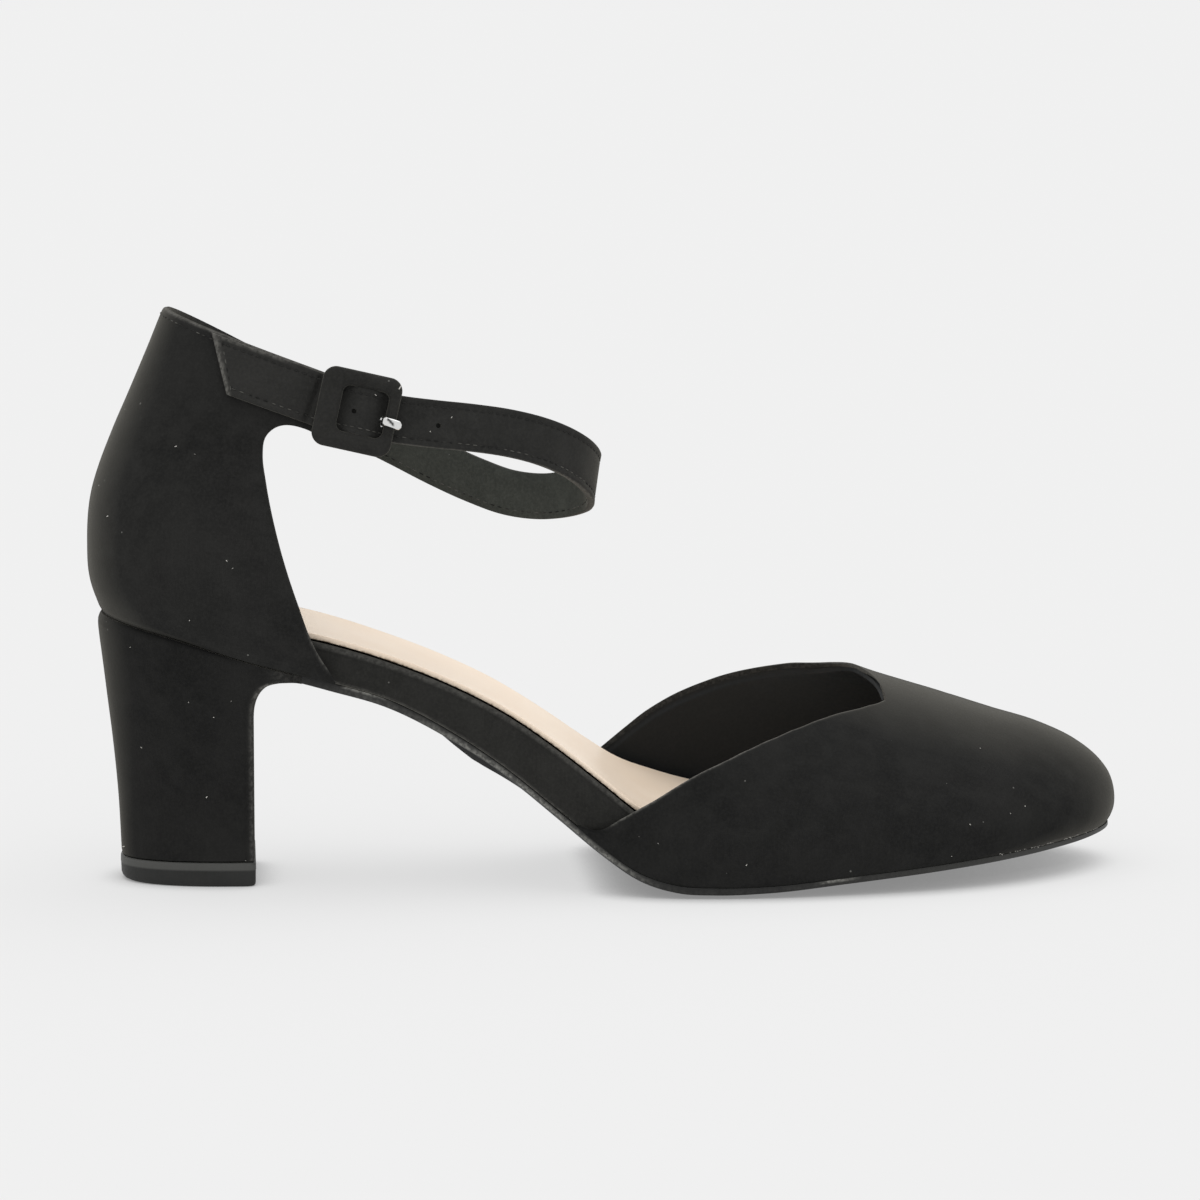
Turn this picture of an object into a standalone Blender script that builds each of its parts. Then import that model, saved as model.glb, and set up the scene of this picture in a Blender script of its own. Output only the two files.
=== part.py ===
"""Right shoe: a two-piece pump with open sides, a block heel and a buckled ankle strap.

+X points to the toe, +Y to the inner side of the foot and +Z up. The shoe stands on its heel and
on the ball of its sole at Z = 0, and the origin lies under the middle of its length and width.
"""

import math
from collections import namedtuple

import bmesh
import bpy
import numpy as np
from mathutils import Vector

MM = 0.001

# Driving dimensions
LENGTH = 232.5 * MM  # back of the quarter to the nose of the vamp
BALL_WIDTH = 77.0 * MM  # outer to inner feather line at the ball
HEEL_HEIGHT = 60.0 * MM  # floor to the heel seat, at the back
INSTEP_HEIGHT = 42.6 * MM  # floor to the crest of the vamp at the throat
HEEL_SEAT_WIDTH = 50.8 * MM
WALL = 1.8 * MM  # thickness of the upper
GAP = 0.3 * MM  # between pieces that meet
BACK = -LENGTH / 2

# Last: feather line in plan, its height, the footbed on it and the rise of its inner edge.
# along is a share of the length, seat of the heel height, lateral and medial of the ball width.
Section = namedtuple("Section", "along seat lateral medial bed arch")
LAST = [
    Section(0.000, 1.017, 0.325, 0.325, 6.5 * MM, 1.0 * MM),
    Section(0.087, 0.938, 0.327, 0.325, 7.0 * MM, 1.0 * MM),
    Section(0.156, 0.853, 0.332, 0.327, 7.8 * MM, 1.2 * MM),
    Section(0.225, 0.778, 0.330, 0.304, 8.8 * MM, 1.2 * MM),
    Section(0.285, 0.705, 0.325, 0.283, 8.8 * MM, 1.2 * MM),
    Section(0.341, 0.592, 0.338, 0.288, 10.4 * MM, 1.2 * MM),
    Section(0.392, 0.462, 0.366, 0.312, 12.2 * MM, 1.2 * MM),
    Section(0.444, 0.302, 0.410, 0.351, 13.7 * MM, 1.4 * MM),
    Section(0.483, 0.180, 0.445, 0.384, 14.0 * MM, 1.9 * MM),
    Section(0.517, 0.093, 0.473, 0.414, 13.0 * MM, 3.0 * MM),
    Section(0.552, 0.050, 0.491, 0.442, 11.2 * MM, 4.2 * MM),
    Section(0.586, 0.042, 0.501, 0.465, 9.6 * MM, 3.6 * MM),
    Section(0.638, 0.045, 0.503, 0.488, 8.0 * MM, 2.2 * MM),
    Section(0.715, 0.070, 0.480, 0.499, 6.6 * MM, 1.4 * MM),
    Section(0.810, 0.100, 0.428, 0.490, 5.6 * MM, 1.0 * MM),
    Section(0.909, 0.130, 0.366, 0.472, 4.8 * MM, 0.8 * MM),
    Section(1.000, 0.157, 0.280, 0.436, 4.4 * MM, 0.8 * MM),
]
HEEL_POINT = BACK + 2.9 * MM  # backmost point of the feather line
HEEL_ROUND = 27.0 * MM
HEEL_ROUNDNESS = 2.2
TOE_POINT = -BACK - 1.95 * MM  # foremost point of the feather line
TOE_ROUND = 52.0 * MM
TOE_ROUNDNESS = 2.15
TOE_SIDE = 6.0 * MM  # the toe points this far to the inner side

# Vamp: each row joins a place on the feather line to a place on the crest.
# feather and crest are shares of the length, side of the ball width, height of the instep height.
VampRow = namedtuple("VampRow", "at feather crest side height")
VAMP = [
    VampRow(0.000, 0.459, 0.459, 0.117, 1.740),
    VampRow(0.140, 0.543, 0.543, 0.143, 1.515),
    VampRow(0.270, 0.620, 0.620, 0.162, 1.315),
    VampRow(0.380, 0.689, 0.689, 0.173, 1.162),
    VampRow(0.500, 0.762, 0.762, 0.173, 1.002),
    VampRow(0.600, 0.823, 0.825, 0.164, 0.895),
    VampRow(0.690, 0.874, 0.883, 0.149, 0.795),
    VampRow(0.765, 0.913, 0.928, 0.130, 0.722),
    VampRow(0.830, 0.943, 0.963, 0.114, 0.634),
    VampRow(0.885, 0.965, 0.986, 0.100, 0.532),
    VampRow(0.930, 0.979, 0.997, 0.090, 0.430),
    VampRow(0.965, 0.9877, 1.000, 0.083, 0.327),
    VampRow(0.988, 0.9912, 0.998, 0.079, 0.256),
    VampRow(1.000, 0.9916, 0.993, 0.078, 0.222),
]
LATERAL_FULLNESS = 2.2
MEDIAL_FULLNESS = 2.5
VAMP_BULGE = 1.8 * MM
CHIN = 11.0 * MM  # reach of the softened front of the toe, over the feather line
THROAT = 0.5046  # place of the throat's tip along the vamp rows
THROAT_TURN = 0.360  # and its turn over the vamp, 0 outer feather line, 1 inner feather line

# Topline of the vamp behind the throat, as turns over the vamp from its outer feather line.
Topline = namedtuple("Topline", "at lateral medial")
TOPLINE = [
    Topline(0.000, 0.002, 0.997),
    Topline(0.030, 0.011, 0.984),
    Topline(0.070, 0.045, 0.946),
    Topline(0.140, 0.097, 0.883),
    Topline(0.270, 0.175, 0.786),
    Topline(0.380, 0.252, 0.694),
    Topline(0.440, 0.299, 0.626),
    Topline(0.460, 0.315, 0.586),
    Topline(0.475, 0.330, 0.540),
    Topline(0.4845, 0.339, 0.500),
    Topline(0.493, 0.348, 0.472),
    Topline(0.499, 0.354, 0.445),
    Topline(0.5025, 0.3575, 0.420),
    Topline(0.5040, 0.359, 0.395),
    Topline(0.5046, 0.360, 0.360),
]

# Quarter: profile of the back and half width, by the height at which a level meets the back.
QUARTER_SLOPE = 0.30  # fall of the levels to the front
QuarterRow = namedtuple("QuarterRow", "level back half")
QUARTER = [
    QuarterRow(61.2 * MM, 2.9 * MM, 0.500),
    QuarterRow(66.8 * MM, 0.7 * MM, 0.545),
    QuarterRow(76.0 * MM, 0.0 * MM, 0.577),
    QuarterRow(86.8 * MM, 1.0 * MM, 0.577),
    QuarterRow(93.5 * MM, 2.8 * MM, 0.558),
    QuarterRow(101.8 * MM, 5.7 * MM, 0.530),
    QuarterRow(112.0 * MM, 9.7 * MM, 0.498),
    QuarterRow(122.8 * MM, 13.8 * MM, 0.464),
    QuarterRow(131.0 * MM, 16.8 * MM, 0.440),
    QuarterRow(135.0 * MM, 18.4 * MM, 0.429),
]
# Front edge of the quarter from the seat over the arch to the end of the ear, outer and inner
# side; x is measured from the back.
FrontRow = namedtuple("FrontRow", "at x z inner_x inner_z")
QUARTER_FRONT = [
    FrontRow(0.00, 54.4 * MM, 46.6 * MM, 50.4 * MM, 47.6 * MM),
    FrontRow(0.08, 50.5 * MM, 53.0 * MM, 46.6 * MM, 53.0 * MM),
    FrontRow(0.22, 46.0 * MM, 65.0 * MM, 42.8 * MM, 64.5 * MM),
    FrontRow(0.38, 42.2 * MM, 78.0 * MM, 39.8 * MM, 77.0 * MM),
    FrontRow(0.54, 39.6 * MM, 91.0 * MM, 37.8 * MM, 88.5 * MM),
    FrontRow(0.61, 38.95 * MM, 96.6 * MM, 37.4 * MM, 93.0 * MM),
    FrontRow(0.67, 39.6 * MM, 100.7 * MM, 38.2 * MM, 96.6 * MM),
    FrontRow(0.72, 42.0 * MM, 102.8 * MM, 41.0 * MM, 98.8 * MM),
    FrontRow(0.77, 45.4 * MM, 103.1 * MM, 43.8 * MM, 99.5 * MM),
    FrontRow(0.81, 49.2 * MM, 101.9 * MM, 46.2 * MM, 99.3 * MM),
    FrontRow(0.845, 52.4 * MM, 100.0 * MM, 48.4 * MM, 98.6 * MM),
    FrontRow(0.87, 53.6 * MM, 101.4 * MM, 49.4 * MM, 99.8 * MM),
    FrontRow(1.00, 54.4 * MM, 113.8 * MM, 50.6 * MM, 109.8 * MM),
]
COLLAR_BACK = 127.6 * MM

# Heel block: outline by level, rise is the share of the way from the top piece to the seat.
HeelRow = namedtuple("HeelRow", "rise back breast half")
HEEL = [
    HeelRow(0.000, 6.80 * MM, 36.45 * MM, 0.311),
    HeelRow(0.250, 6.20 * MM, 36.45 * MM, 0.327),
    HeelRow(0.500, 5.00 * MM, 36.45 * MM, 0.362),
    HeelRow(0.650, 4.05 * MM, 36.50 * MM, 0.398),
    HeelRow(0.770, 3.30 * MM, 36.70 * MM, 0.433),
    HeelRow(0.845, 2.80 * MM, 37.40 * MM, 0.453),
    HeelRow(0.905, 2.40 * MM, 39.10 * MM, 0.470),
    HeelRow(0.948, 2.20 * MM, 42.40 * MM, 0.482),
    HeelRow(0.962, 2.20 * MM, 46.95 * MM, 0.486),
    HeelRow(1.000, 2.50 * MM, 46.95 * MM, 0.490),
]
HEEL_ROUNDNESS_LOW = 2.5
BREAST_CORNER = 1.6 * MM
TOP_PIECE = 5.4 * MM
TOP_PIECE_LIP = 0.25 * MM
TOP_PIECE_BEVEL = 0.6 * MM

# Insole, sock and outsole
BOARD_ROLL = 1.6 * MM
SOCK = 1.2 * MM
SOCK_GAP = 0.45 * MM
SOCK_INSET = 1.7 * MM
SOCK_CUP = 1.2 * MM  # rise of the outer edge of the footbed
OUTSOLE_BEVEL = 0.5 * MM
OUTSOLE_PROUD = 0.3 * MM
TREAD_NOSE = 7.0 * MM  # the tread runs out over this length before the toe
WAIST_INSET = 2.9 * MM
WAIST_FRONT = -24.0 * MM
WAIST_RUN = 36.0 * MM
# Edge of the outsole and its tread: thickness of the edge, depth of the tread under it and its
# distance from the edge.
Tread = namedtuple("Tread", "along edge depth inset")
TREAD = [
    Tread(0.000, 1.70 * MM, 0.15 * MM, 2.2 * MM),
    Tread(0.332, 1.70 * MM, 0.15 * MM, 2.2 * MM),
    Tread(0.347, 1.65 * MM, 1.10 * MM, 2.2 * MM),
    Tread(0.362, 1.60 * MM, 1.70 * MM, 2.2 * MM),
    Tread(0.375, 1.55 * MM, 1.60 * MM, 2.4 * MM),
    Tread(0.410, 1.45 * MM, 0.85 * MM, 4.0 * MM),
    Tread(1.000, 1.35 * MM, 0.85 * MM, 4.5 * MM),
]

# Straps
STRAP_WIDTH = 10.4 * MM
STRAP_THICK = 1.7 * MM
TAB_WIDTH = 11.3 * MM
TAB_THICK = 1.5 * MM
TAB_SLANT = 0.22  # lean of the sewn end to the back
TAB_BACK = 29.9 * MM  # sewn end, from the back of the shoe
TAB_BACK_HEIGHT = 116.25 * MM
TAB_FALL = 0.367
INNER_BACK_HEIGHT = 114.0 * MM  # the same for the strap sewn on the inner side
INNER_FALL = 0.49
TAB_FRONT = 57.9 * MM
EAR_END = 50.6 * MM
# Free run of the ankle strap from its end in the buckle round the front to the inner ear.
# lean is the tilt of its upper edge outwards, in degrees.
StrapRow = namedtuple("StrapRow", "x y z lean")
STRAP = [
    StrapRow(-63.2 * MM, -26.6 * MM, 107.80 * MM, -9),
    StrapRow(-56.4 * MM, -26.6 * MM, 106.10 * MM, -9),
    StrapRow(-48.0 * MM, -26.5 * MM, 104.40 * MM, -8),
    StrapRow(-40.0 * MM, -25.9 * MM, 103.30 * MM, -6),
    StrapRow(-32.0 * MM, -24.4 * MM, 102.30 * MM, -4),
    StrapRow(-24.0 * MM, -22.0 * MM, 100.90 * MM, -2),
    StrapRow(-17.0 * MM, -18.8 * MM, 98.90 * MM, 1),
    StrapRow(-11.0 * MM, -14.4 * MM, 96.20 * MM, 4),
    StrapRow(-6.0 * MM, -8.4 * MM, 92.60 * MM, 7),
    StrapRow(-3.6 * MM, -1.5 * MM, 89.00 * MM, 8),
    StrapRow(-4.4 * MM, 5.2 * MM, 86.10 * MM, 7),
    StrapRow(-8.4 * MM, 10.8 * MM, 84.10 * MM, 5),
    StrapRow(-14.5 * MM, 15.0 * MM, 83.10 * MM, 3),
    StrapRow(-21.5 * MM, 17.8 * MM, 83.80 * MM, 1),
    StrapRow(-29.0 * MM, 19.7 * MM, 86.40 * MM, -1),
    StrapRow(-37.0 * MM, 21.2 * MM, 90.00 * MM, -3),
    StrapRow(-46.0 * MM, 22.7 * MM, 94.60 * MM, -5),
    StrapRow(-55.0 * MM, 23.9 * MM, 99.10 * MM, -7),
    StrapRow(-61.5 * MM, 24.7 * MM, 102.30 * MM, -8),
]

# Buckle, in the strap's own directions: along it, across it and outwards
BUCKLE_LENGTH = 17.5 * MM
BUCKLE_HEIGHT = 17.5 * MM
BUCKLE_MIDDLE = (-0.65 * MM, -0.25 * MM)  # from the centre bar, along and across
WINDOW_LENGTH = 10.1 * MM
WINDOW_HEIGHT = 10.1 * MM
WINDOW_MIDDLE = (0.55 * MM, 0.0)
BUCKLE_THICK = 2.6 * MM
BUCKLE_CORNER = 2.8 * MM
CENTRE_BAR = 1.5 * MM
PRONG_WIDTH = 2.1 * MM
PRONG_THICK = 1.0 * MM
PRONG_REACH = 9.2 * MM
PRONG_HOLE = 4.8 * MM  # from the centre bar
PRONG_SIDE = -1.1 * MM  # below the middle of the strap
PRONG_TURN = -0.10  # and further below over the front bar


def smooth(table, column, at):
    """Value of a column on a smooth curve through the rows of a table."""
    xs = [row[0] for row in table]
    ys = [getattr(row, column) for row in table]
    last = len(xs) - 1
    rise = [(ys[i + 1] - ys[i]) / (xs[i + 1] - xs[i]) for i in range(last)]
    slope = [rise[0]]
    for i in range(1, last):
        before = xs[i] - xs[i - 1]
        after = xs[i + 1] - xs[i]
        slope.append((rise[i - 1] * after + rise[i] * before) / (before + after))
    slope.append(rise[-1])
    if at <= xs[0]:
        return ys[0] + slope[0] * (at - xs[0])
    if at >= xs[-1]:
        return ys[-1] + slope[-1] * (at - xs[-1])
    i = int(np.searchsorted(xs, at, side="right")) - 1
    step = xs[i + 1] - xs[i]
    t = (at - xs[i]) / step
    first = (1 + 2 * t) * (1 - t) ** 2 * ys[i] + t * (1 - t) ** 2 * step * slope[i]
    second = t * t * (3 - 2 * t) * ys[i + 1] - t * t * (1 - t) * step * slope[i + 1]
    return first + second


def arc(share, roundness):
    """Rise of a round end from 0 at its point to 1 at its full width."""
    left = 1 - min(max(share, 0.0), 1.0)
    return (1 - left**roundness) ** (1 / roundness)


def mix(a, b, t):
    return a + (b - a) * t


# Last


def along(x):
    return (x - BACK) / LENGTH


def seat(x):
    """Height of the feather line."""
    return smooth(LAST, "seat", along(x)) * HEEL_HEIGHT


def bed(x):
    """Thickness of the footbed on the feather line."""
    return smooth(LAST, "bed", along(x))


def feather(x, side, inset=0.0):
    """Sideways place of the feather line, side -1 outer and 1 inner."""
    column = "lateral" if side < 0 else "medial"
    full = side * (smooth(LAST, column, along(x)) * BALL_WIDTH - inset)
    heel = arc((x - HEEL_POINT - inset) / HEEL_ROUND, HEEL_ROUNDNESS)
    toe = arc((TOE_POINT - inset - x) / TOE_ROUND, TOE_ROUNDNESS)
    return TOE_SIDE * (1 - toe) + full * heel * toe


def vamp_point(at, turn):
    """Place on the vamp, turn 0 at the outer feather line, 1 at the inner one."""
    side = -1 if turn < 0.5 else 1
    fullness = LATERAL_FULLNESS if side < 0 else MEDIAL_FULLNESS
    foot_x = min(BACK + smooth(VAMP, "feather", at) * LENGTH, TOE_POINT)
    foot_y = feather(foot_x, side)
    foot_z = seat(foot_x)
    top_x = BACK + smooth(VAMP, "crest", at) * LENGTH
    top_y = smooth(VAMP, "side", at) * BALL_WIDTH
    top_z = max(smooth(VAMP, "height", at) * INSTEP_HEIGHT, foot_z)
    angle = math.pi * min(max(turn, 0.0), 1.0)
    out = abs(math.cos(angle)) ** (2 / fullness)
    up = max(math.sin(angle), 0.0) ** (2 / fullness)
    reach = min(1.0, abs(foot_y - top_y) / (20 * MM))
    bulge = side * VAMP_BULGE * reach * up * (1 - up) ** 3 / 0.1055
    x = mix(foot_x, top_x, up)
    y = mix(top_y, foot_y, out) + bulge
    return Vector((x, y, mix(foot_z, top_z, up)))


def quarter_half(x, z):
    """Half width of the quarter's outer face at a place in side view."""
    level = z + QUARTER_SLOPE * (x - BACK)
    back = BACK + smooth(QUARTER, "back", level)
    half = smooth(QUARTER, "half", level) * HEEL_SEAT_WIDTH
    return half * arc((x - back) / HEEL_ROUND, HEEL_ROUNDNESS)


def quarter_face(x, z, side, out=0.0):
    """Place on the quarter's outer face, moved outwards along its normal."""
    step = 0.5 * MM
    y = quarter_half(x, z)
    to_x = (quarter_half(x + step, z) - quarter_half(x - step, z)) / (2 * step)
    to_z = (quarter_half(x, z + step) - quarter_half(x, z - step)) / (2 * step)
    normal = Vector((-to_x, 1.0, -to_z)).normalized()
    return Vector((x + normal.x * out, side * (y + normal.y * out), z + normal.z * out))


# Building


def material(name, colour, roughness, metallic=0.0):
    made = bpy.data.materials.new(name)
    made.use_nodes = True
    made.diffuse_color = (*colour, 1.0)
    shader = made.node_tree.nodes["Principled BSDF"]
    shader.inputs["Base Color"].default_value = (*colour, 1.0)
    shader.inputs["Roughness"].default_value = roughness
    shader.inputs["Metallic"].default_value = metallic
    return made


def build(name, points, faces, coat, sharp=40.0):
    """Object from points and faces, with its doubles merged and its faces turned out."""
    mesh = bpy.data.meshes.new(name)
    mesh.from_pydata([tuple(p) for p in points], [], faces)
    shape = bmesh.new()
    shape.from_mesh(mesh)
    bmesh.ops.remove_doubles(shape, verts=shape.verts, dist=0.02 * MM)
    bmesh.ops.dissolve_degenerate(shape, edges=shape.edges, dist=0.01 * MM)
    bmesh.ops.recalc_face_normals(shape, faces=shape.faces)
    shape.to_mesh(mesh)
    shape.free()
    mesh.materials.append(coat)
    mesh.polygons.foreach_set("use_smooth", [True] * len(mesh.polygons))
    mesh.set_sharp_from_angle(angle=math.radians(sharp))
    made = bpy.data.objects.new(name, mesh)
    bpy.context.scene.collection.objects.link(made)
    return made


def loft(name, rings, coat, sharp=40.0):
    """Solid through closed rings of equal count, closed by its two end rings."""
    count = len(rings[0])
    points = [p for ring in rings for p in ring]
    faces = []
    for i in range(len(rings) - 1):
        for j in range(count):
            k = (j + 1) % count
            faces.append((i * count + j, i * count + k, (i + 1) * count + k, (i + 1) * count + j))
    end = (len(rings) - 1) * count
    faces.append(tuple(range(count)))
    faces.append(tuple(range(end, end + count)))
    return build(name, points, faces, coat, sharp)


def stack(name, rings, coat, sharp=40.0):
    """Solid through stacked open outlines that run from one side round the back to the other."""
    count = len(rings[0])
    points = [p for ring in rings for p in ring]
    faces = []
    for i in range(len(rings) - 1):
        for j in range(count):
            k = (j + 1) % count
            faces.append((i * count + j, i * count + k, (i + 1) * count + k, (i + 1) * count + j))
    for start in (0, (len(rings) - 1) * count):
        for j in range(count // 2 - 1):
            k = count - 1 - j
            faces.append((start + j, start + j + 1, start + k - 1, start + k))
    return build(name, points, faces, coat, sharp)


def grid(rows):
    """Points and faces of a grid of points."""
    wide = len(rows[0])
    points = [p for row in rows for p in row]
    faces = []
    for i in range(len(rows) - 1):
        for j in range(wide - 1):
            a = i * wide + j
            faces.append((a, a + 1, a + wide + 1, a + wide))
    return points, faces


def thicken(made, depth):
    """Give an outer face its wall, inwards."""
    wall = made.modifiers.new("wall", "SOLIDIFY")
    wall.thickness = depth
    wall.offset = -1.0
    wall.use_rim = True
    return made


def eased(count, start=0.0, end=1.0):
    """Shares from 0 to 1 that crowd to the ends by the given amounts."""
    shares = []
    for i in range(count + 1):
        t = i / count
        first = t * t if start else t
        last = 1 - (1 - t) ** 2 if end else t
        shares.append(mix(mix(t, first, start), mix(t, last, end), t))
    return shares


for old in list(bpy.data.objects):
    bpy.data.objects.remove(old, do_unlink=True)

suede = material("vamp_suede", (0.020, 0.020, 0.018), 0.85)
quarter_suede = material("quarter_suede", (0.020, 0.020, 0.018), 0.85)
heel_suede = material("heel_suede", (0.018, 0.018, 0.017), 0.85)
strap_suede = material("strap_suede", (0.022, 0.022, 0.020), 0.82)
tab_suede = material("tab_suede", (0.022, 0.022, 0.020), 0.82)
buckle_suede = material("buckle_suede", (0.020, 0.020, 0.018), 0.82)
board_suede = material("board_suede", (0.022, 0.022, 0.020), 0.85)
sock_leather = material("sock_leather", (0.80, 0.66, 0.55), 0.55)
sole_rubber = material("sole_rubber", (0.030, 0.031, 0.030), 0.45)
top_rubber = material("top_rubber", (0.030, 0.032, 0.031), 0.55)
prong_steel = material("prong_steel", (0.75, 0.75, 0.75), 0.25, 1.0)

# Vamp: outer and inner halves meet along the middle in front of the throat
VAMP_REAR = 14
VAMP_FRONT = 20
VAMP_ACROSS = 10
rows = [THROAT * t for t in eased(VAMP_REAR)[:-1]]
rows += [mix(THROAT, 1.0, t) for t in eased(VAMP_FRONT)]
outer_half = []
inner_half = []
for at in rows:
    if at < THROAT:
        lateral = smooth(TOPLINE, "lateral", at)
        medial = smooth(TOPLINE, "medial", at)
    else:
        ahead = min(1.0, (at - THROAT) / (0.85 - THROAT))
        lateral = mix(THROAT_TURN, 0.5, ahead)
        medial = lateral
    outer_half.append([vamp_point(at, lateral * j / VAMP_ACROSS) for j in range(VAMP_ACROSS + 1)])
    inner_half.append(
        [vamp_point(at, mix(medial, 1.0, j / VAMP_ACROSS)) for j in range(VAMP_ACROSS + 1)]
    )
points, faces = grid(outer_half)
more, added = grid(inner_half)
faces += [tuple(v + len(points) for v in face) for face in added]
points += more
vamp = build("upper_vamp", points, faces, suede)
tip = Vector((TOE_POINT, TOE_SIDE, seat(TOE_POINT)))
chin = vamp.vertex_groups.new(name="chin")
for vertex in vamp.data.vertices:
    far = (vertex.co - tip).length / CHIN
    above = vertex.co.z - seat(min(vertex.co.x, TOE_POINT))
    if far < 1.0 and above > 0.3 * MM:
        chin.add([vertex.index], 1 - far * far, "REPLACE")
soften = vamp.modifiers.new("chin", "SMOOTH")
soften.vertex_group = "chin"
soften.factor = 0.5
soften.iterations = 10
thicken(vamp, WALL)

# Quarter: level rows from the back to the front edge, on both sides
QUARTER_ROWS = 20
QUARTER_ACROSS = 13
rows = []
for i in range(QUARTER_ROWS + 1):
    p = i / QUARTER_ROWS
    back_level = mix(QUARTER[0].level, COLLAR_BACK + QUARTER_SLOPE * 17.9 * MM, p)
    back_x = BACK + smooth(QUARTER, "back", back_level)
    back_z = back_level - QUARTER_SLOPE * (back_x - BACK)
    both = []
    for side, to_x, to_z in ((-1, "x", "z"), (1, "inner_x", "inner_z")):
        front_x = BACK + smooth(QUARTER_FRONT, to_x, p)
        front_z = smooth(QUARTER_FRONT, to_z, p)
        line = []
        for j in range(QUARTER_ACROSS + 1):
            t = (j / QUARTER_ACROSS) ** 1.7
            x = mix(back_x, front_x, t)
            z = mix(back_z, front_z, t)
            z += (seat(x) - mix(seat(back_x), seat(front_x), t)) * (1 - p) ** 3
            line.append(Vector((x, side * quarter_half(x, z), z)))
        both.append(line)
    rows.append(both[0][::-1] + both[1][1:])
points, faces = grid(rows)
quarter = thicken(build("upper_quarter", points, faces, quarter_suede), WALL)

# Insole board: wrapped slab that follows the feather line inside the upper
BOARD_STEPS = 40
inset = WALL + GAP
start = HEEL_POINT + inset
end = TOE_POINT - inset
rings = []
for t in eased(BOARD_STEPS, 1.0, 1.0):
    x = mix(start + 0.15 * MM, end - 0.15 * MM, t)
    lateral = feather(x, -1, inset)
    medial = feather(x, 1, inset)
    middle = (lateral + medial) / 2
    half = (medial - lateral) / 2
    low = seat(x)
    high = low + bed(x) - SOCK - SOCK_GAP
    roll = min(BOARD_ROLL, half * 0.4)
    ring = []
    for side, cup in ((-1, SOCK_CUP), (1, smooth(LAST, "arch", along(x)))):
        side_points = [
            (half - 0.5 * roll, low),
            (half, low + 0.5 * roll),
            (half, high + cup - roll),
            (half - 0.3 * roll, high + cup - 0.3 * roll),
            (half - roll, high + cup * (1 - roll / half) ** 2),
            (half * 0.5, high + cup * 0.25),
        ]
        places = [Vector((x, middle + side * y, z)) for y, z in side_points]
        ring += places if side < 0 else places[::-1]
    rings.append(ring)
board = loft("insole_board", rings, board_suede)

# Sock lining on the board
SOCK_STEPS = 36
inset = WALL + GAP + SOCK_INSET
start = HEEL_POINT + inset
end = TOE_POINT - inset
rings = []
for t in eased(SOCK_STEPS, 1.0, 1.0):
    x = mix(start + 0.15 * MM, end - 0.15 * MM, t)
    lateral = feather(x, -1, inset)
    medial = feather(x, 1, inset)
    middle = (lateral + medial) / 2
    half = (medial - lateral) / 2
    high = seat(x) + bed(x)
    bevel = min(0.35 * MM, half * 0.2)
    full = half + SOCK_INSET
    ring = []
    for side, cup in ((-1, SOCK_CUP), (1, smooth(LAST, "arch", along(x)))):
        side_points = [
            (0.5 * half, -SOCK),
            (half, -SOCK),
            (half, -bevel),
            (half - bevel, 0.0),
            (0.5 * half, 0.0),
        ]
        places = [
            Vector((x, middle + side * y, high + z + cup * (y / full) ** 2)) for y, z in side_points
        ]
        ring += places if side < 0 else places[::-1]
    rings.append(ring)
sock = loft("insole_sock", rings, sock_leather)

# Outsole: edge, bevel and tread step, flat on the floor at the ball
LIP_END = BACK + HEEL[-1].breast
OUTSOLE_STEPS = 44
start = LIP_END + GAP
end = TOE_POINT + OUTSOLE_PROUD
rings = []
for t in eased(OUTSOLE_STEPS, 0.0, 1.0):
    x = mix(start, end - 0.15 * MM, t)
    ahead = min(1.0, max(0.0, (x - WAIST_FRONT) / WAIST_RUN))
    out = mix(WAIST_INSET, -OUTSOLE_PROUD, ahead * ahead * (3 - 2 * ahead))
    lateral = feather(x, -1, out)
    medial = feather(x, 1, out)
    middle = (lateral + medial) / 2
    half = (medial - lateral) / 2
    high = seat(x) - GAP
    thick, depth, tread = [
        np.interp(along(x), [row.along for row in TREAD], [getattr(row, column) for row in TREAD])
        for column in ("edge", "depth", "inset")
    ]
    edge = high - thick
    nose = min(1.0, (end - x) / TREAD_NOSE)
    low = max(0.0, edge - mix(0.15 * MM, depth, nose * nose * (3 - 2 * nose)))
    bevel = min(OUTSOLE_BEVEL, half * 0.2)
    tread = min(tread, half * 0.5)
    side_points = [
        (half - tread - 0.3 * tread, low),
        (half - tread, edge),
        (half - bevel, edge),
        (half, edge + bevel),
        (half, high),
    ]
    ring = [Vector((x, middle - y, z)) for y, z in side_points]
    ring += [Vector((x, middle + y, z)) for y, z in reversed(side_points)]
    rings.append(ring)
outsole = loft("outsole", rings, sole_rubber)

# Heel block: outlines from the top piece to the seat, with the lip under the waist
HEEL_STEPS = 14


def heel_outline(rise, grow=0.0):
    """Places and widths from the breast to the back at a share of the heel's height."""
    back_x = BACK + smooth(HEEL, "back", rise) - grow
    breast_x = BACK + smooth(HEEL, "breast", rise) + grow
    half = smooth(HEEL, "half", rise) * HEEL_SEAT_WIDTH + grow
    outline = []
    for t in [0.0, 0.012, 0.04] + [0.04 + 0.96 * s for s in eased(HEEL_STEPS)[1:]]:
        x = mix(breast_x, back_x, t)
        low = half * (1 - t**HEEL_ROUNDNESS_LOW) ** (1 / HEEL_ROUNDNESS_LOW)
        corner = {0.0: BREAST_CORNER, 0.012: 0.4 * BREAST_CORNER}.get(t, 0.0)
        share = rise**3
        seat_x = mix(breast_x, HEEL_POINT, t)
        outer = mix(low, -feather(seat_x, -1, 0.0), share)
        inner = mix(low, feather(seat_x, 1, 0.0), share)
        outline.append((x, max(outer - corner, 0.0), max(inner - corner, 0.0)))
    return outline


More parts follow.
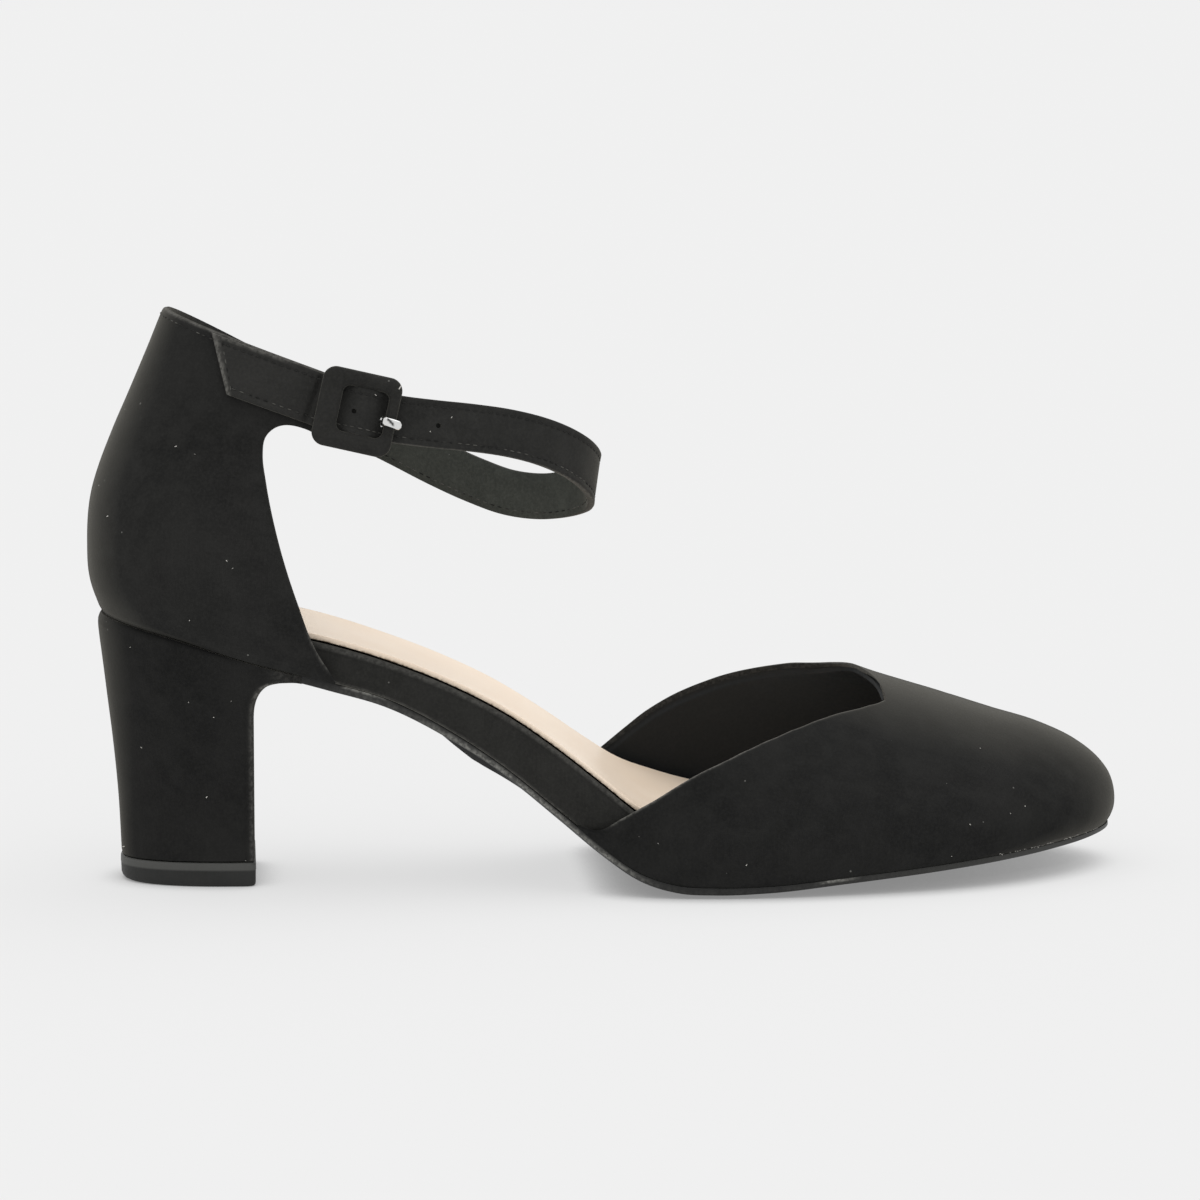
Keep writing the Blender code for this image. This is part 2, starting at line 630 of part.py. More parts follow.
rings = []
for row in HEEL:
    outline = heel_outline(row.rise)
    ring = []
    for x, outer, inner in outline:
        z = mix(TOP_PIECE + GAP, seat(x) - GAP, row.rise)
        ring.append(Vector((x, -outer, z)))
    for x, outer, inner in reversed(outline):
        z = mix(TOP_PIECE + GAP, seat(x) - GAP, row.rise)
        ring.append(Vector((x, inner, z)))
    rings.append(ring)
heel = stack("heel_block", rings, heel_suede)

# Top piece under the heel
rings = []
for grow, z in (
    (TOP_PIECE_LIP - TOP_PIECE_BEVEL, 0.0),
    (TOP_PIECE_LIP, TOP_PIECE_BEVEL),
    (TOP_PIECE_LIP, TOP_PIECE - 0.3 * MM),
    (TOP_PIECE_LIP - 0.3 * MM, TOP_PIECE),
):
    outline = heel_outline(0.0, grow)
    ring = [Vector((x, -outer, z)) for x, outer, inner in outline]
    ring += [Vector((x, inner, z)) for x, outer, inner in reversed(outline)]
    rings.append(ring)
top_piece = stack("heel_top_piece", rings, top_rubber)

# Straps: a cross section has a row of places on its inner and on its outer face
ACROSS = (-1.0, -1 / 3, 1 / 3, 1.0)


def sewn_section(x, height, fall, width, thick, side, slant):
    """Section of a strap that lies on the quarter and falls from its sewn end to the front.

    slant 0 is square to the strap and 1 leans as the sewn end does.
    """
    z = height - fall * (x - BACK - TAB_BACK)
    square = math.atan(fall)
    lean = mix(square, -math.atan(TAB_SLANT), slant)
    half = width / 2 / math.cos(square - lean)
    inner = []
    outer = []
    for b in ACROSS:
        at_x = x + b * half * math.sin(lean)
        at_z = z + b * half * math.cos(lean)
        inner.append(quarter_face(at_x, at_z, side, GAP))
        outer.append(quarter_face(at_x, at_z, side, GAP + thick))
    return inner + outer[::-1]


TAB_STEPS = 12
rings = []
for i in range(TAB_STEPS + 1):
    t = i / TAB_STEPS
    x = mix(BACK + TAB_BACK, BACK + TAB_FRONT, t)
    slant = max(0.0, 1 - 2 * t)
    rings.append(sewn_section(x, TAB_BACK_HEIGHT, TAB_FALL, TAB_WIDTH, TAB_THICK, -1, slant))
tab = loft("buckle_tab", rings, tab_suede)

# Ankle strap: free run from the buckle, then sewn on the inner ear
Place = namedtuple("Place", "at x y z lean")
travel = [0.0]
for before, after in zip(STRAP, STRAP[1:]):
    travel.append(travel[-1] + math.dist(before[:3], after[:3]))
PLACES = [Place(s, *row) for s, row in zip(travel, STRAP)]


def strap_frame(s):
    """Middle of the free strap and its directions along, across and outwards."""
    middle = Vector([smooth(PLACES, c, s) for c in ("x", "y", "z")])
    step = 0.5 * MM
    ahead = Vector([smooth(PLACES, c, s + step) for c in ("x", "y", "z")])
    behind = Vector([smooth(PLACES, c, s - step) for c in ("x", "y", "z")])
    forward = (ahead - behind).normalized()
    level_out = forward.cross(Vector((0, 0, 1))).normalized()
    lean = math.radians(smooth(PLACES, "lean", s))
    up = Vector((0, 0, math.cos(lean))) + level_out * math.sin(lean)
    up = (up - forward * up.dot(forward)).normalized()
    return middle, forward, up, forward.cross(up).normalized()


def free_section(s, half, thick):
    middle, forward, up, out = strap_frame(s)
    inner = [middle + up * b * half - out * thick / 2 for b in ACROSS]
    outer = [middle + up * b * half + out * thick / 2 for b in ACROSS]
    return inner + outer[::-1]


STRAP_STEPS = 52
SEWN_STEPS = 9
rings = [free_section(travel[-1] * i / STRAP_STEPS, STRAP_WIDTH / 2, STRAP_THICK)
         for i in range(STRAP_STEPS + 1)]
for i in range(SEWN_STEPS + 1):
    t = i / SEWN_STEPS
    x = mix(BACK + EAR_END, BACK + TAB_BACK, t)
    slant = max(0.0, 2 * t - 1)
    rings.append(
        sewn_section(x, INNER_BACK_HEIGHT, INNER_FALL, STRAP_WIDTH, STRAP_THICK, 1, slant)
    )
strap = loft("ankle_strap", rings, strap_suede)

# Buckle: frame round the strap, posts and a centre bar under the strap
BUCKLE_AT = travel[1]
middle, forward, up, out = strap_frame(BUCKLE_AT)


def in_buckle(a, b, n):
    """Place from its distances along, across and out of the strap's middle in the buckle."""
    return middle + forward * a + up * b + out * n


def rounded(length, height, corner, centre, steps=4):
    """Corner points of a rounded rectangle about its centre."""
    outline = []
    for turn, (sa, sb) in enumerate(((1, 1), (-1, 1), (-1, -1), (1, -1))):
        for i in range(steps + 1):
            angle = math.radians(90 * (turn + i / steps))
            a = centre[0] + sa * (length / 2 - corner) + corner * math.cos(angle)
            b = centre[1] + sb * (height / 2 - corner) + corner * math.sin(angle)
            outline.append((a, b))
    return outline


def box(name, lo, hi, coat):
    corners = [
        in_buckle(a, b, n) for a in (lo[0], hi[0]) for b in (lo[1], hi[1]) for n in (lo[2], hi[2])
    ]
    sides = [(0, 1, 3, 2), (4, 6, 7, 5), (0, 4, 5, 1), (2, 3, 7, 6), (0, 2, 6, 4), (1, 5, 7, 3)]
    return build(name, corners, sides, coat)


frame_low = STRAP_THICK / 2 + 0.4 * MM
frame_high = frame_low + BUCKLE_THICK
edge = 0.8 * MM
loops = []
for grow, n in ((0.0, frame_low), (0.0, frame_high - edge), (0.35, frame_high - 0.3 * edge),
                (1.0, frame_high)):
    cut = 2 * edge * grow
    loops.append([in_buckle(a, b, n) for a, b in rounded(
        BUCKLE_LENGTH - cut, BUCKLE_HEIGHT - cut, BUCKLE_CORNER - cut / 2, BUCKLE_MIDDLE)])
for grow, n in ((1.0, frame_high), (0.35, frame_high - 0.3 * edge), (0.0, frame_high - edge),
                (0.0, frame_low)):
    cut = 2 * edge * grow
    loops.append([in_buckle(a, b, n) for a, b in rounded(
        WINDOW_LENGTH + cut, WINDOW_HEIGHT + cut, 0.8 * MM + cut / 2, WINDOW_MIDDLE)])
count = len(loops[0])
points = [p for ring in loops for p in ring]
faces = []
for i in range(len(loops)):
    k = (i + 1) % len(loops)
    for j in range(count):
        m = (j + 1) % count
        faces.append((i * count + j, i * count + m, k * count + m, k * count + j))
buckle = build("buckle_frame", points, faces, buckle_suede)

bar_high = -STRAP_THICK / 2 - GAP
bar_low = bar_high - CENTRE_BAR
post_in = STRAP_WIDTH / 2 + 0.4 * MM
post_out = post_in + 1.8 * MM
joins = [
    box("buckle_bar", (-CENTRE_BAR / 2, -post_out, bar_low), (CENTRE_BAR / 2, post_out, bar_high),
        buckle_suede),
    box("buckle_post_low", (-CENTRE_BAR / 2, -post_out, bar_low + 0.1 * MM),
        (CENTRE_BAR / 2, -post_in, frame_low + 1 * MM), buckle_suede),
    box("buckle_post_high", (-CENTRE_BAR / 2, post_in, bar_low + 0.1 * MM),
        (CENTRE_BAR / 2, post_out, frame_low + 1 * MM), buckle_suede),
]
for piece in joins:
    piece.hide_render = True
    piece.display_type = "WIRE"
    join = buckle.modifiers.new(piece.name, "BOOLEAN")
    join.operation = "UNION"
    join.solver = "EXACT"
    join.object = piece

# Prong: from the centre bar through the strap's hole and over the front bar
prong_top = frame_high + GAP + PRONG_THICK / 2
prong_low = bar_high - PRONG_THICK / 2 - 0.1 * MM
path = [
    (CENTRE_BAR / 2 + GAP, prong_low),
    (PRONG_HOLE - 1.0 * MM, prong_low),
    (PRONG_HOLE - 0.2 * MM, prong_low + 0.6 * MM),
    (PRONG_HOLE, prong_low + 1.6 * MM),
    (PRONG_HOLE, prong_top - 1.2 * MM),
    (PRONG_HOLE + 0.25 * MM, prong_top - 0.4 * MM),
    (PRONG_HOLE + 1.1 * MM, prong_top),
    (PRONG_REACH - 1.8 * MM, prong_top),
    (PRONG_REACH - 0.4 * MM, prong_top - 0.25 * MM),
    (PRONG_REACH, prong_top - 0.35 * MM),
]
rings = []
for i, (a, n) in enumerate(path):
    before = path[max(i - 1, 0)]
    after = path[min(i + 1, len(path) - 1)]
    run = Vector((after[0] - before[0], after[1] - before[1])).normalized()
    taper = 0.55 if i in (0, len(path) - 1) else 1.0
    aside = PRONG_SIDE + PRONG_TURN * max(0.0, a - PRONG_HOLE)
    ring = []
    for k in range(8):
        angle = math.radians(45 * k + 22.5)
        across = PRONG_WIDTH / 2 * taper * math.cos(angle) * 1.08
        height = PRONG_THICK / 2 * taper * math.sin(angle) * 1.08
        ring.append(in_buckle(a - run.y * height, aside + across, n + run.x * height))
    rings.append(ring)
prong = loft("buckle_prong", rings, prong_steel)

slot = box(
    "strap_hole",
    (PRONG_HOLE - 0.9 * MM, PRONG_SIDE - PRONG_WIDTH / 2 - 0.35 * MM, -STRAP_THICK),
    (PRONG_HOLE + 0.9 * MM, PRONG_SIDE + PRONG_WIDTH / 2 + 0.35 * MM, STRAP_THICK),
    strap_suede,
)
slot.hide_render = True
slot.display_type = "WIRE"
cut = strap.modifiers.new("strap_hole", "BOOLEAN")
cut.operation = "DIFFERENCE"
cut.solver = "EXACT"
cut.object = slot
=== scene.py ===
"""Looks of a right-foot pump with open sides: black microsuede upper, covered block heel, pale sock
lining, thin dark sole and a buckled ankle strap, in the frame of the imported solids.

+X points to the toe, +Y to the inner side of the foot and +Z up. Sizes are in metres.
"""

import math
from collections import namedtuple

import bmesh
import bpy
import numpy as np
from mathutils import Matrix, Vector, noise


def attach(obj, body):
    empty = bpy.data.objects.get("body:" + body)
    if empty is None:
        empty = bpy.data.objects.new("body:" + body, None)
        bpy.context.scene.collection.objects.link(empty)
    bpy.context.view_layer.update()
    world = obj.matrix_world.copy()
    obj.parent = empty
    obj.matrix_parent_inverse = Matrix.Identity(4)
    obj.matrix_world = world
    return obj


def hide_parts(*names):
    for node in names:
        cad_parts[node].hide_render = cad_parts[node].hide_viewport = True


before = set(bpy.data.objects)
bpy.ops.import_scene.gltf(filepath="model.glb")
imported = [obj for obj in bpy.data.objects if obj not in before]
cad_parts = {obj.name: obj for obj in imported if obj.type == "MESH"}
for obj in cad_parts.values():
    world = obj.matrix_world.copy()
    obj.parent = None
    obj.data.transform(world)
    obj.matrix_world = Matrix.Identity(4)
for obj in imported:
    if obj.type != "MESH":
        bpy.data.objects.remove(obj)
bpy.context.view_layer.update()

# Insole board: a stiff board with its cushion, wrapped in the upper's cloth, which shows as a band
# along the open waist. The cloth is turned over its upper edge in a small roll. The upper is
# lasted round this board, so the last's own sizes and the black microsuede stand here.

MM = 0.001
LENGTH = 232.5 * MM
BALL_WIDTH = 77.0 * MM
HEEL_HEIGHT = 60.0 * MM
WALL = 1.8 * MM
GAP = 0.3 * MM
BACK = -LENGTH / 2
HEEL_POINT = BACK + 2.9 * MM
HEEL_ROUND = 27.0 * MM
HEEL_ROUNDNESS = 2.2
TOE_POINT = -BACK - 1.95 * MM
TOE_ROUND = 52.0 * MM
TOE_ROUNDNESS = 2.15
TOE_SIDE = 6.0 * MM


def table(columns, *rows):
    """Rows of named columns, in millimetres where a name ends in _mm."""
    names = columns.split()
    units = [MM if name.endswith("_mm") else 1.0 for name in names]
    Row = namedtuple("Row", [name.removesuffix("_mm") for name in names])
    return [Row(*(value * unit for value, unit in zip(row, units))) for row in rows]


LAST = table(
    "along seat lateral medial bed_mm arch_mm",
    (0.000, 1.017, 0.325, 0.325, 6.5, 1.0),
    (0.087, 0.938, 0.327, 0.325, 7.0, 1.0),
    (0.156, 0.853, 0.332, 0.327, 7.8, 1.2),
    (0.225, 0.778, 0.330, 0.304, 8.8, 1.2),
    (0.285, 0.705, 0.325, 0.283, 8.8, 1.2),
    (0.341, 0.592, 0.338, 0.288, 10.4, 1.2),
    (0.392, 0.462, 0.366, 0.312, 12.2, 1.2),
    (0.444, 0.302, 0.410, 0.351, 13.7, 1.4),
    (0.483, 0.180, 0.445, 0.384, 14.0, 1.9),
    (0.517, 0.093, 0.473, 0.414, 13.0, 3.0),
    (0.552, 0.050, 0.491, 0.442, 11.2, 4.2),
    (0.586, 0.042, 0.501, 0.465, 9.6, 3.6),
    (0.638, 0.045, 0.503, 0.488, 8.0, 2.2),
    (0.715, 0.070, 0.480, 0.499, 6.6, 1.4),
    (0.810, 0.100, 0.428, 0.490, 5.6, 1.0),
    (0.909, 0.130, 0.366, 0.472, 4.8, 0.8),
    (1.000, 0.157, 0.280, 0.436, 4.4, 0.8),
)
SOCK = 1.2 * MM
SOCK_GAP = 0.45 * MM
SOCK_CUP = 1.2 * MM
BOARD_STEPS = 150


def mix(a, b, t):
    return a + (b - a) * t


def ease(t):
    t = min(max(t, 0.0), 1.0)
    return t * t * (3 - 2 * t)


def bell(distance, width, power=2):
    """1 at no distance, falling off smoothly past the width."""
    return math.exp(-((distance / width) ** power))


def arc(share, roundness):
    """Rise of a round end from 0 at its point to 1 at its full width."""
    left = 1 - min(max(share, 0.0), 1.0)
    return (1 - left**roundness) ** (1 / roundness)


def curve(table, column):
    """Smooth curve through a column of a table, against the table's first column."""
    xs = [row[0] for row in table]
    ys = [getattr(row, column) for row in table]
    rise = [(b - a) / (d - c) for a, b, c, d in zip(ys, ys[1:], xs, xs[1:])]
    slope = [rise[0]]
    for i in range(1, len(rise)):
        before = xs[i] - xs[i - 1]
        after = xs[i + 1] - xs[i]
        slope.append((rise[i - 1] * after + rise[i] * before) / (before + after))
    slope.append(rise[-1])

    def value(at):
        if at <= xs[0]:
            return ys[0] + slope[0] * (at - xs[0])
        if at >= xs[-1]:
            return ys[-1] + slope[-1] * (at - xs[-1])
        i = int(np.searchsorted(xs, at, side="right")) - 1
        step = xs[i + 1] - xs[i]
        t = (at - xs[i]) / step
        first = (1 + 2 * t) * (1 - t) ** 2 * ys[i] + t * (1 - t) ** 2 * step * slope[i]
        return first + t * t * (3 - 2 * t) * ys[i + 1] - t * t * (1 - t) * step * slope[i + 1]

    return value


seat_share = curve(LAST, "seat")
bed_depth = curve(LAST, "bed")
arch_rise = curve(LAST, "arch")
width_share = {-1: curve(LAST, "lateral"), 1: curve(LAST, "medial")}


def along(x):
    return (x - BACK) / LENGTH


def seat(x):
    """Height of the feather line."""
    return seat_share(along(x)) * HEEL_HEIGHT


def feather(x, side, inset=0.0):
    """Sideways place of the feather line, side -1 outer and 1 inner."""
    full = side * (width_share[side](along(x)) * BALL_WIDTH - inset)
    heel = arc((x - HEEL_POINT - inset) / HEEL_ROUND, HEEL_ROUNDNESS)
    toe = arc((TOE_POINT - inset - x) / TOE_ROUND, TOE_ROUNDNESS)
    return TOE_SIDE * (1 - toe) + full * heel * toe


def crowded(count):
    """Shares from 0 to 1 that crowd to both ends."""
    return [(1 - math.cos(math.pi * i / count)) / 2 for i in range(count + 1)]


def finish_mesh(made, sharp=38.0):
    """Merge doubles, turn the faces out and shade smooth up to the sharp angle."""
    shape = bmesh.new()
    shape.from_mesh(made.data)
    bmesh.ops.remove_doubles(shape, verts=shape.verts, dist=0.004 * MM)
    bmesh.ops.dissolve_degenerate(shape, edges=shape.edges, dist=0.002 * MM)
    bmesh.ops.recalc_face_normals(shape, faces=shape.faces)
    shape.to_mesh(made.data)
    shape.free()
    made.data.shade_smooth()
    made.data.set_sharp_from_angle(angle=math.radians(sharp))
    return made


def add_object(name, data):
    made = bpy.data.objects.new(name, data)
    bpy.context.scene.collection.objects.link(made)
    return made


def piece(name, points, faces, finishes=(), marks_and_painted_light=(), edges=()):
    """Mesh from its points, with each point's share of pale marks and painted light."""
    mesh = bpy.data.meshes.new(name)
    mesh.from_pydata([tuple(p) for p in points], edges, faces)
    if marks_and_painted_light:
        mesh.attributes.new("marks_and_painted_light", "FLOAT", "POINT").data.foreach_set("value", marks_and_painted_light)
    for finish in finishes:
        mesh.materials.append(finish.material)
    return add_object(name, mesh)


def tube_faces(rings, wide, closed=False):
    """Faces round a tube of rings with wide points each."""
    faces = []
    for i in range(rings if closed else rings - 1):
        a, b = i * wide, (i + 1) % rings * wide
        faces += [(a + j, a + (j + 1) % wide, b + (j + 1) % wide, b + j) for j in range(wide)]
    return faces


def loft(name, rings, finishes, sharp=38.0, marks_and_painted_light=()):
    """Solid through closed rings of equal count, with its two ends filled."""
    count = len(rings[0])
    end = (len(rings) - 1) * count
    faces = tube_faces(len(rings), count) + [tuple(range(count)), tuple(range(end, end + count))]
    return finish_mesh(piece(name, [p for ring in rings for p in ring], faces, finishes, marks_and_painted_light), sharp)


def settle(made, slot, *nodes):
    """Let a finished piece ride on the shoe in the place of its solids."""
    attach(made, "root")
    if nodes:
        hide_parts(*nodes)
    return made


def preset(node, values):
    """Set a node's inputs, by name or number."""
    for socket, value in values.items():
        node.inputs[socket].default_value = value
    return node


class Finish:
    """A material in the making, with the nodes that the shoe's finishes share."""

    def __init__(self, name):
        self.material = bpy.data.materials.new(name)
        self.material.use_nodes = True
        self.nodes = self.material.node_tree.nodes
        self.links = self.material.node_tree.links
        self.shader = self.nodes["Principled BSDF"]

    def feed(self, socket, value):
        self.links.new(value, self.shader.inputs[socket])

    def colour(self):
        """What feeds the base colour so far."""
        return self.shader.inputs["Base Color"].links[0].from_socket

    def place(self):
        """The piece's own coordinates."""
        return self.nodes.new("ShaderNodeTexCoord").outputs["Object"]

    def axis(self, name):
        split = self.nodes.new("ShaderNodeSeparateXYZ")
        self.links.new(self.place(), split.inputs["Vector"])
        return split.outputs[name]

    def noise(self, scale, detail, roughness=0.55, stretch=None):
        """Noise on the piece's own coordinates, in grains to the metre."""
        place = self.place()
        if stretch:
            mapping = preset(self.nodes.new("ShaderNodeMapping"), {"Scale": stretch})
            self.links.new(place, mapping.inputs["Vector"])
            place = mapping.outputs["Vector"]
        grain = self.nodes.new("ShaderNodeTexNoise")
        preset(grain, {"Scale": scale, "Detail": detail, "Roughness": roughness})
        self.links.new(place, grain.inputs["Vector"])
        return grain.outputs["Fac"]

    def spread(self, value, lo, hi, to_lo, to_hi):
        """Value taken from one range to another and held at its ends."""
        mapped = self.nodes.new("ShaderNodeMapRange")
        preset(mapped, {"From Min": lo, "From Max": hi, "To Min": to_lo, "To Max": to_hi})
        self.links.new(value, mapped.inputs["Value"])
        return mapped.outputs["Result"]

    def blend(self, share, first, second):
        """Colour between two colours or links, by a share."""
        mixed = self.nodes.new("ShaderNodeMix")
        mixed.data_type = "RGBA"
        self.links.new(share, mixed.inputs["Factor"])
        for socket, colour in ((6, first), (7, second)):
            if isinstance(colour, tuple):
                mixed.inputs[socket].default_value = (*colour, 1.0)
            else:
                self.links.new(colour, mixed.inputs[socket])
        return mixed.outputs[2]

    def sum(self, operation, first, second):
        step = self.nodes.new("ShaderNodeMath")
        step.operation = operation
        self.links.new(first, step.inputs[0])
        self.links.new(second, step.inputs[1])
        return step.outputs["Value"]

    def marks_and_painted_light(self, colour, pale):
        """Pale broken line where a piece's marks are above zero, which is wear on some edges and painted
        highlight on others, and near black where they are below zero, which is painted shade in seams and a
        painted dark reflection on the prong.
        """
        rim = self.nodes.new("ShaderNodeAttribute")
        rim.attribute_name = "marks_and_painted_light"
        # Painted shade: near black where the marks go below zero.
        painted_darkness = self.spread(rim.outputs["Fac"], -1.0, 0.0, 1.0, 0.0)
        colour = self.blend(painted_darkness, colour, (0.0015, 0.0015, 0.0015))
        broken = self.spread(self.noise(1100, 3, 0.6), 0.40, 0.60, 0.30, 1.0)
        return self.blend(self.sum("MULTIPLY", rim.outputs["Fac"], broken), colour, pale)

    def bump(self, height, strength, distance):
        bump = preset(self.nodes.new("ShaderNodeBump"), {"Strength": strength, "Distance": distance})
        self.links.new(height, bump.inputs["Height"])
        self.feed("Normal", bump.outputs["Normal"])


def shade(colour, share):
    return tuple(share * c for c in colour)


def microsuede(name, dark, brushed, painted_sheen=0.50, sheen=0.12):
    """Short-napped black cloth: brushed patches, fine grain, pale rims that are wear on some edges and
    painted highlight on others, painted shade in seams, dust, and a painted sheen that lightens the colour
    towards the silhouettes.
    """
    cloth = Finish(name)
    patches = cloth.spread(cloth.noise(55, 3), 0.35, 0.70, 0.0, 1.0)
    colour = cloth.blend(patches, dark, brushed)
    strokes = cloth.spread(cloth.noise(230, 3), 0.45, 0.70, 0.0, 0.6)
    colour = cloth.blend(strokes, colour, shade(brushed, 1.15))
    grain = cloth.noise(1500, 4, 0.7)
    speckle = cloth.spread(grain, 0.40, 0.75, 0.0, 0.5)
    colour = cloth.blend(speckle, colour, shade(brushed, 1.7))
    # Painted sheen: the colour lightens towards the silhouettes, then falls back to dark at the very
    # outline.
    facing = cloth.nodes.new("ShaderNodeLayerWeight").outputs["Facing"]
    rising = cloth.spread(facing, 0.34, 0.80, 0.0, painted_sheen)
    falling = cloth.spread(facing, 0.88, 0.985, 1.0, 0.1)
    colour = cloth.blend(cloth.sum("MULTIPLY", rising, falling), colour, (0.094, 0.090, 0.077))
    # Pale rims and painted shade from the piece's marks: wear on some edges, painted highlight on others.
    colour = cloth.marks_and_painted_light(colour, (0.135, 0.131, 0.120))
    dust = preset(cloth.nodes.new("ShaderNodeTexVoronoi"), {"Scale": 260.0})
    cloth.links.new(cloth.place(), dust.inputs["Vector"])
    split = cloth.nodes.new("ShaderNodeSeparateColor")
    cloth.links.new(dust.outputs["Color"], split.inputs["Color"])
    size = cloth.spread(split.outputs["Red"], 0.72, 1.0, 0.0, 0.068)
    speck = cloth.sum("LESS_THAN", dust.outputs["Distance"], size)
    cloth.feed("Base Color", cloth.blend(speck, colour, (0.115, 0.114, 0.106)))
    cloth.feed("Roughness", cloth.spread(grain, 0.3, 0.7, 0.86, 1.0))
    cloth.bump(grain, 0.35, 0.25 * MM)
    preset(cloth.shader, {"Specular IOR Level": 0.12, "Sheen Weight": sheen, "Sheen Roughness": 0.30})
    preset(cloth.shader, {"Sheen Tint": (0.98, 0.94, 0.84, 1.0)})
    return cloth


def board_side(half, low, high, cup):
    """Half section of the board from its underside round the rolled edge to under the sock."""
    small = min(1.0, half / (7 * MM))
    top = high + cup
    steps = [
        (0.90, low + 0.00 * MM),
        (0.25, low + 0.25 * MM),
        (0.00, low + 0.90 * MM),
        (0.00, mix(low, top, 0.45)),
        (0.00, top - 2.70 * MM),
        (0.17, top - 2.15 * MM),
        (0.20, top - 1.90 * MM),
        (0.05, top - 1.55 * MM),
        (0.02, top - 1.15 * MM),
        (0.12, top - 0.70 * MM),
        (0.38, top - 0.28 * MM),
        (0.75, top - 0.10 * MM),
        (1.10, top - 0.18 * MM),
        (1.40, top - 0.45 * MM),
        (1.65, top - 0.80 * MM),
        (2.40, top - 0.95 * MM),
    ]
    side = [(half - small * inset * MM, z) for inset, z in steps]
    return side + [(half * 0.45, high + cup * 0.2 - 0.3 * MM)]


# Painted highlight along the band's rolled top edge and its lower corner.
BAND_PAINTED_HIGHLIGHT = {1: 0.4, 8: 0.25, 9: 0.38, 10: 0.25}  # by the step of the half section
TIP = 0.05 * MM  # a loft stops this far short of a point


def span(x, inset):
    """Middle and half width between the feather lines, drawn in by inset."""
    lateral = feather(x, -1, inset)
    medial = feather(x, 1, inset)
    return (lateral + medial) / 2, (medial - lateral) / 2


def cross_ring(x, middle, outer, inner):
    """Closed ring from the places of the outer half round to those of the inner half."""
    near = [Vector((x, middle - y, z)) for y, z in outer]
    return near + [Vector((x, middle + y, z)) for y, z in reversed(inner)]


inset = WALL + GAP
rings = []
marks_and_painted_light = []
for t in crowded(BOARD_STEPS):
    x = mix(HEEL_POINT + inset + TIP, TOE_POINT - inset - TIP, t)
    middle, half = span(x, inset)
    low = seat(x)
    high = low + bed_depth(along(x)) - SOCK - SOCK_GAP
    outer = board_side(half, low, high, SOCK_CUP)
    inner = board_side(half, low, high, arch_rise(along(x)))
    rings.append(cross_ring(x, middle, outer, inner))
    half_painted_highlight = [BAND_PAINTED_HIGHLIGHT.get(j, 0.0) for j in range(len(outer))]
    marks_and_painted_light += half_painted_highlight + half_painted_highlight[::-1]
board_cloth = microsuede("board_cloth", (0.0158, 0.0158, 0.0145), (0.0225, 0.0222, 0.0205), 0.4)
board = loft("insole_band", rings, [board_cloth], marks_and_painted_light=marks_and_painted_light)
settle(board, "board_suede", "insole_board")

# Sock lining: a pale, smooth sheet of coated lining with a thin foam under it, cut a little
# smaller than the board and stuck on it, cupped to the inner side. Its cut edge shows.

SOCK_INSET = 1.7 * MM
SOCK_BEVEL = 0.32 * MM
SOCK_STEPS = 150
SOCK_ACROSS = (1.0, 0.995, 0.975, 0.95, 0.90, 0.82, 0.70, 0.55, 0.38, 0.20, 0.06)
SOCK_BROWN = (0.105, 0.060, 0.028)
SOCK_CUT = {1: 1.0, 2: 0.20}  # how far the brown cut edge shows, by the step of the half section


def smooth_lining(name, colour, deep, roughness, grain_scale):
    """Coated lining: an even colour that darkens softly in patches, with a very fine leather grain."""
    lining = Finish(name)
    patches = lining.spread(lining.noise(38, 3), 0.35, 0.70, 0.0, 1.0)
    lining.feed("Base Color", lining.blend(patches, colour, deep))
    pebble = lining.nodes.new("ShaderNodeTexVoronoi")
    pebble.feature = "SMOOTH_F1"
    preset(pebble, {"Scale": grain_scale})
    lining.links.new(lining.place(), pebble.inputs["Vector"])
    height = pebble.outputs["Distance"]
    lining.feed("Roughness", lining.spread(height, 0.0, 0.8, roughness + 0.06, roughness - 0.05))
    lining.bump(height, 0.10, 0.10 * MM)
    preset(lining.shader, {"Specular IOR Level": 0.35})
    return lining


inset = WALL + GAP + SOCK_INSET
rings = []
marks_and_painted_light = []
for t in crowded(SOCK_STEPS):
    x = mix(HEEL_POINT + inset + TIP, TOE_POINT - inset - TIP, t)
    middle, half = span(x, inset)
    full = half + SOCK_INSET
    high = seat(x) + bed_depth(along(x))
    bevel = min(SOCK_BEVEL, half * 0.2)
    ring = []
    for side, cup in ((-1, SOCK_CUP), (1, arch_rise(along(x)))):
        places = [(0.5 * half, -SOCK), (half, -SOCK), (half, -0.70 * SOCK), (half, -bevel)]
        places.append((half - 0.3 * bevel, -0.3 * bevel))
        places += [(min(half * share, half - bevel), 0.0) for share in SOCK_ACROSS]
        spots = [Vector((x, middle + side * y, high + z + cup * (y / full) ** 2)) for y, z in places]
        cut = [SOCK_CUT.get(j, 0.0) for j in range(len(places))]
        ring += spots if side < 0 else spots[::-1]
        marks_and_painted_light += cut if side < 0 else cut[::-1]
    rings.append(ring)
sock_sheet = smooth_lining("sock_lining", (0.87, 0.735, 0.595), (0.84, 0.69, 0.54), 0.46, 1700)
sock_sheet.feed("Base Color", sock_sheet.marks_and_painted_light(sock_sheet.colour(), SOCK_BROWN))
sock = loft("sock_lining", rings, [sock_sheet], marks_and_painted_light=marks_and_painted_light)
settle(sock, "sock_leather", "insole_sock")

# Vamp: the front of the upper, one piece of microsuede backed with a smooth black lining, pulled
# over the last and turned under the insole. Its topline is folded over, so the lining starts a
# little below the edge, and the throat dips to the outer side.

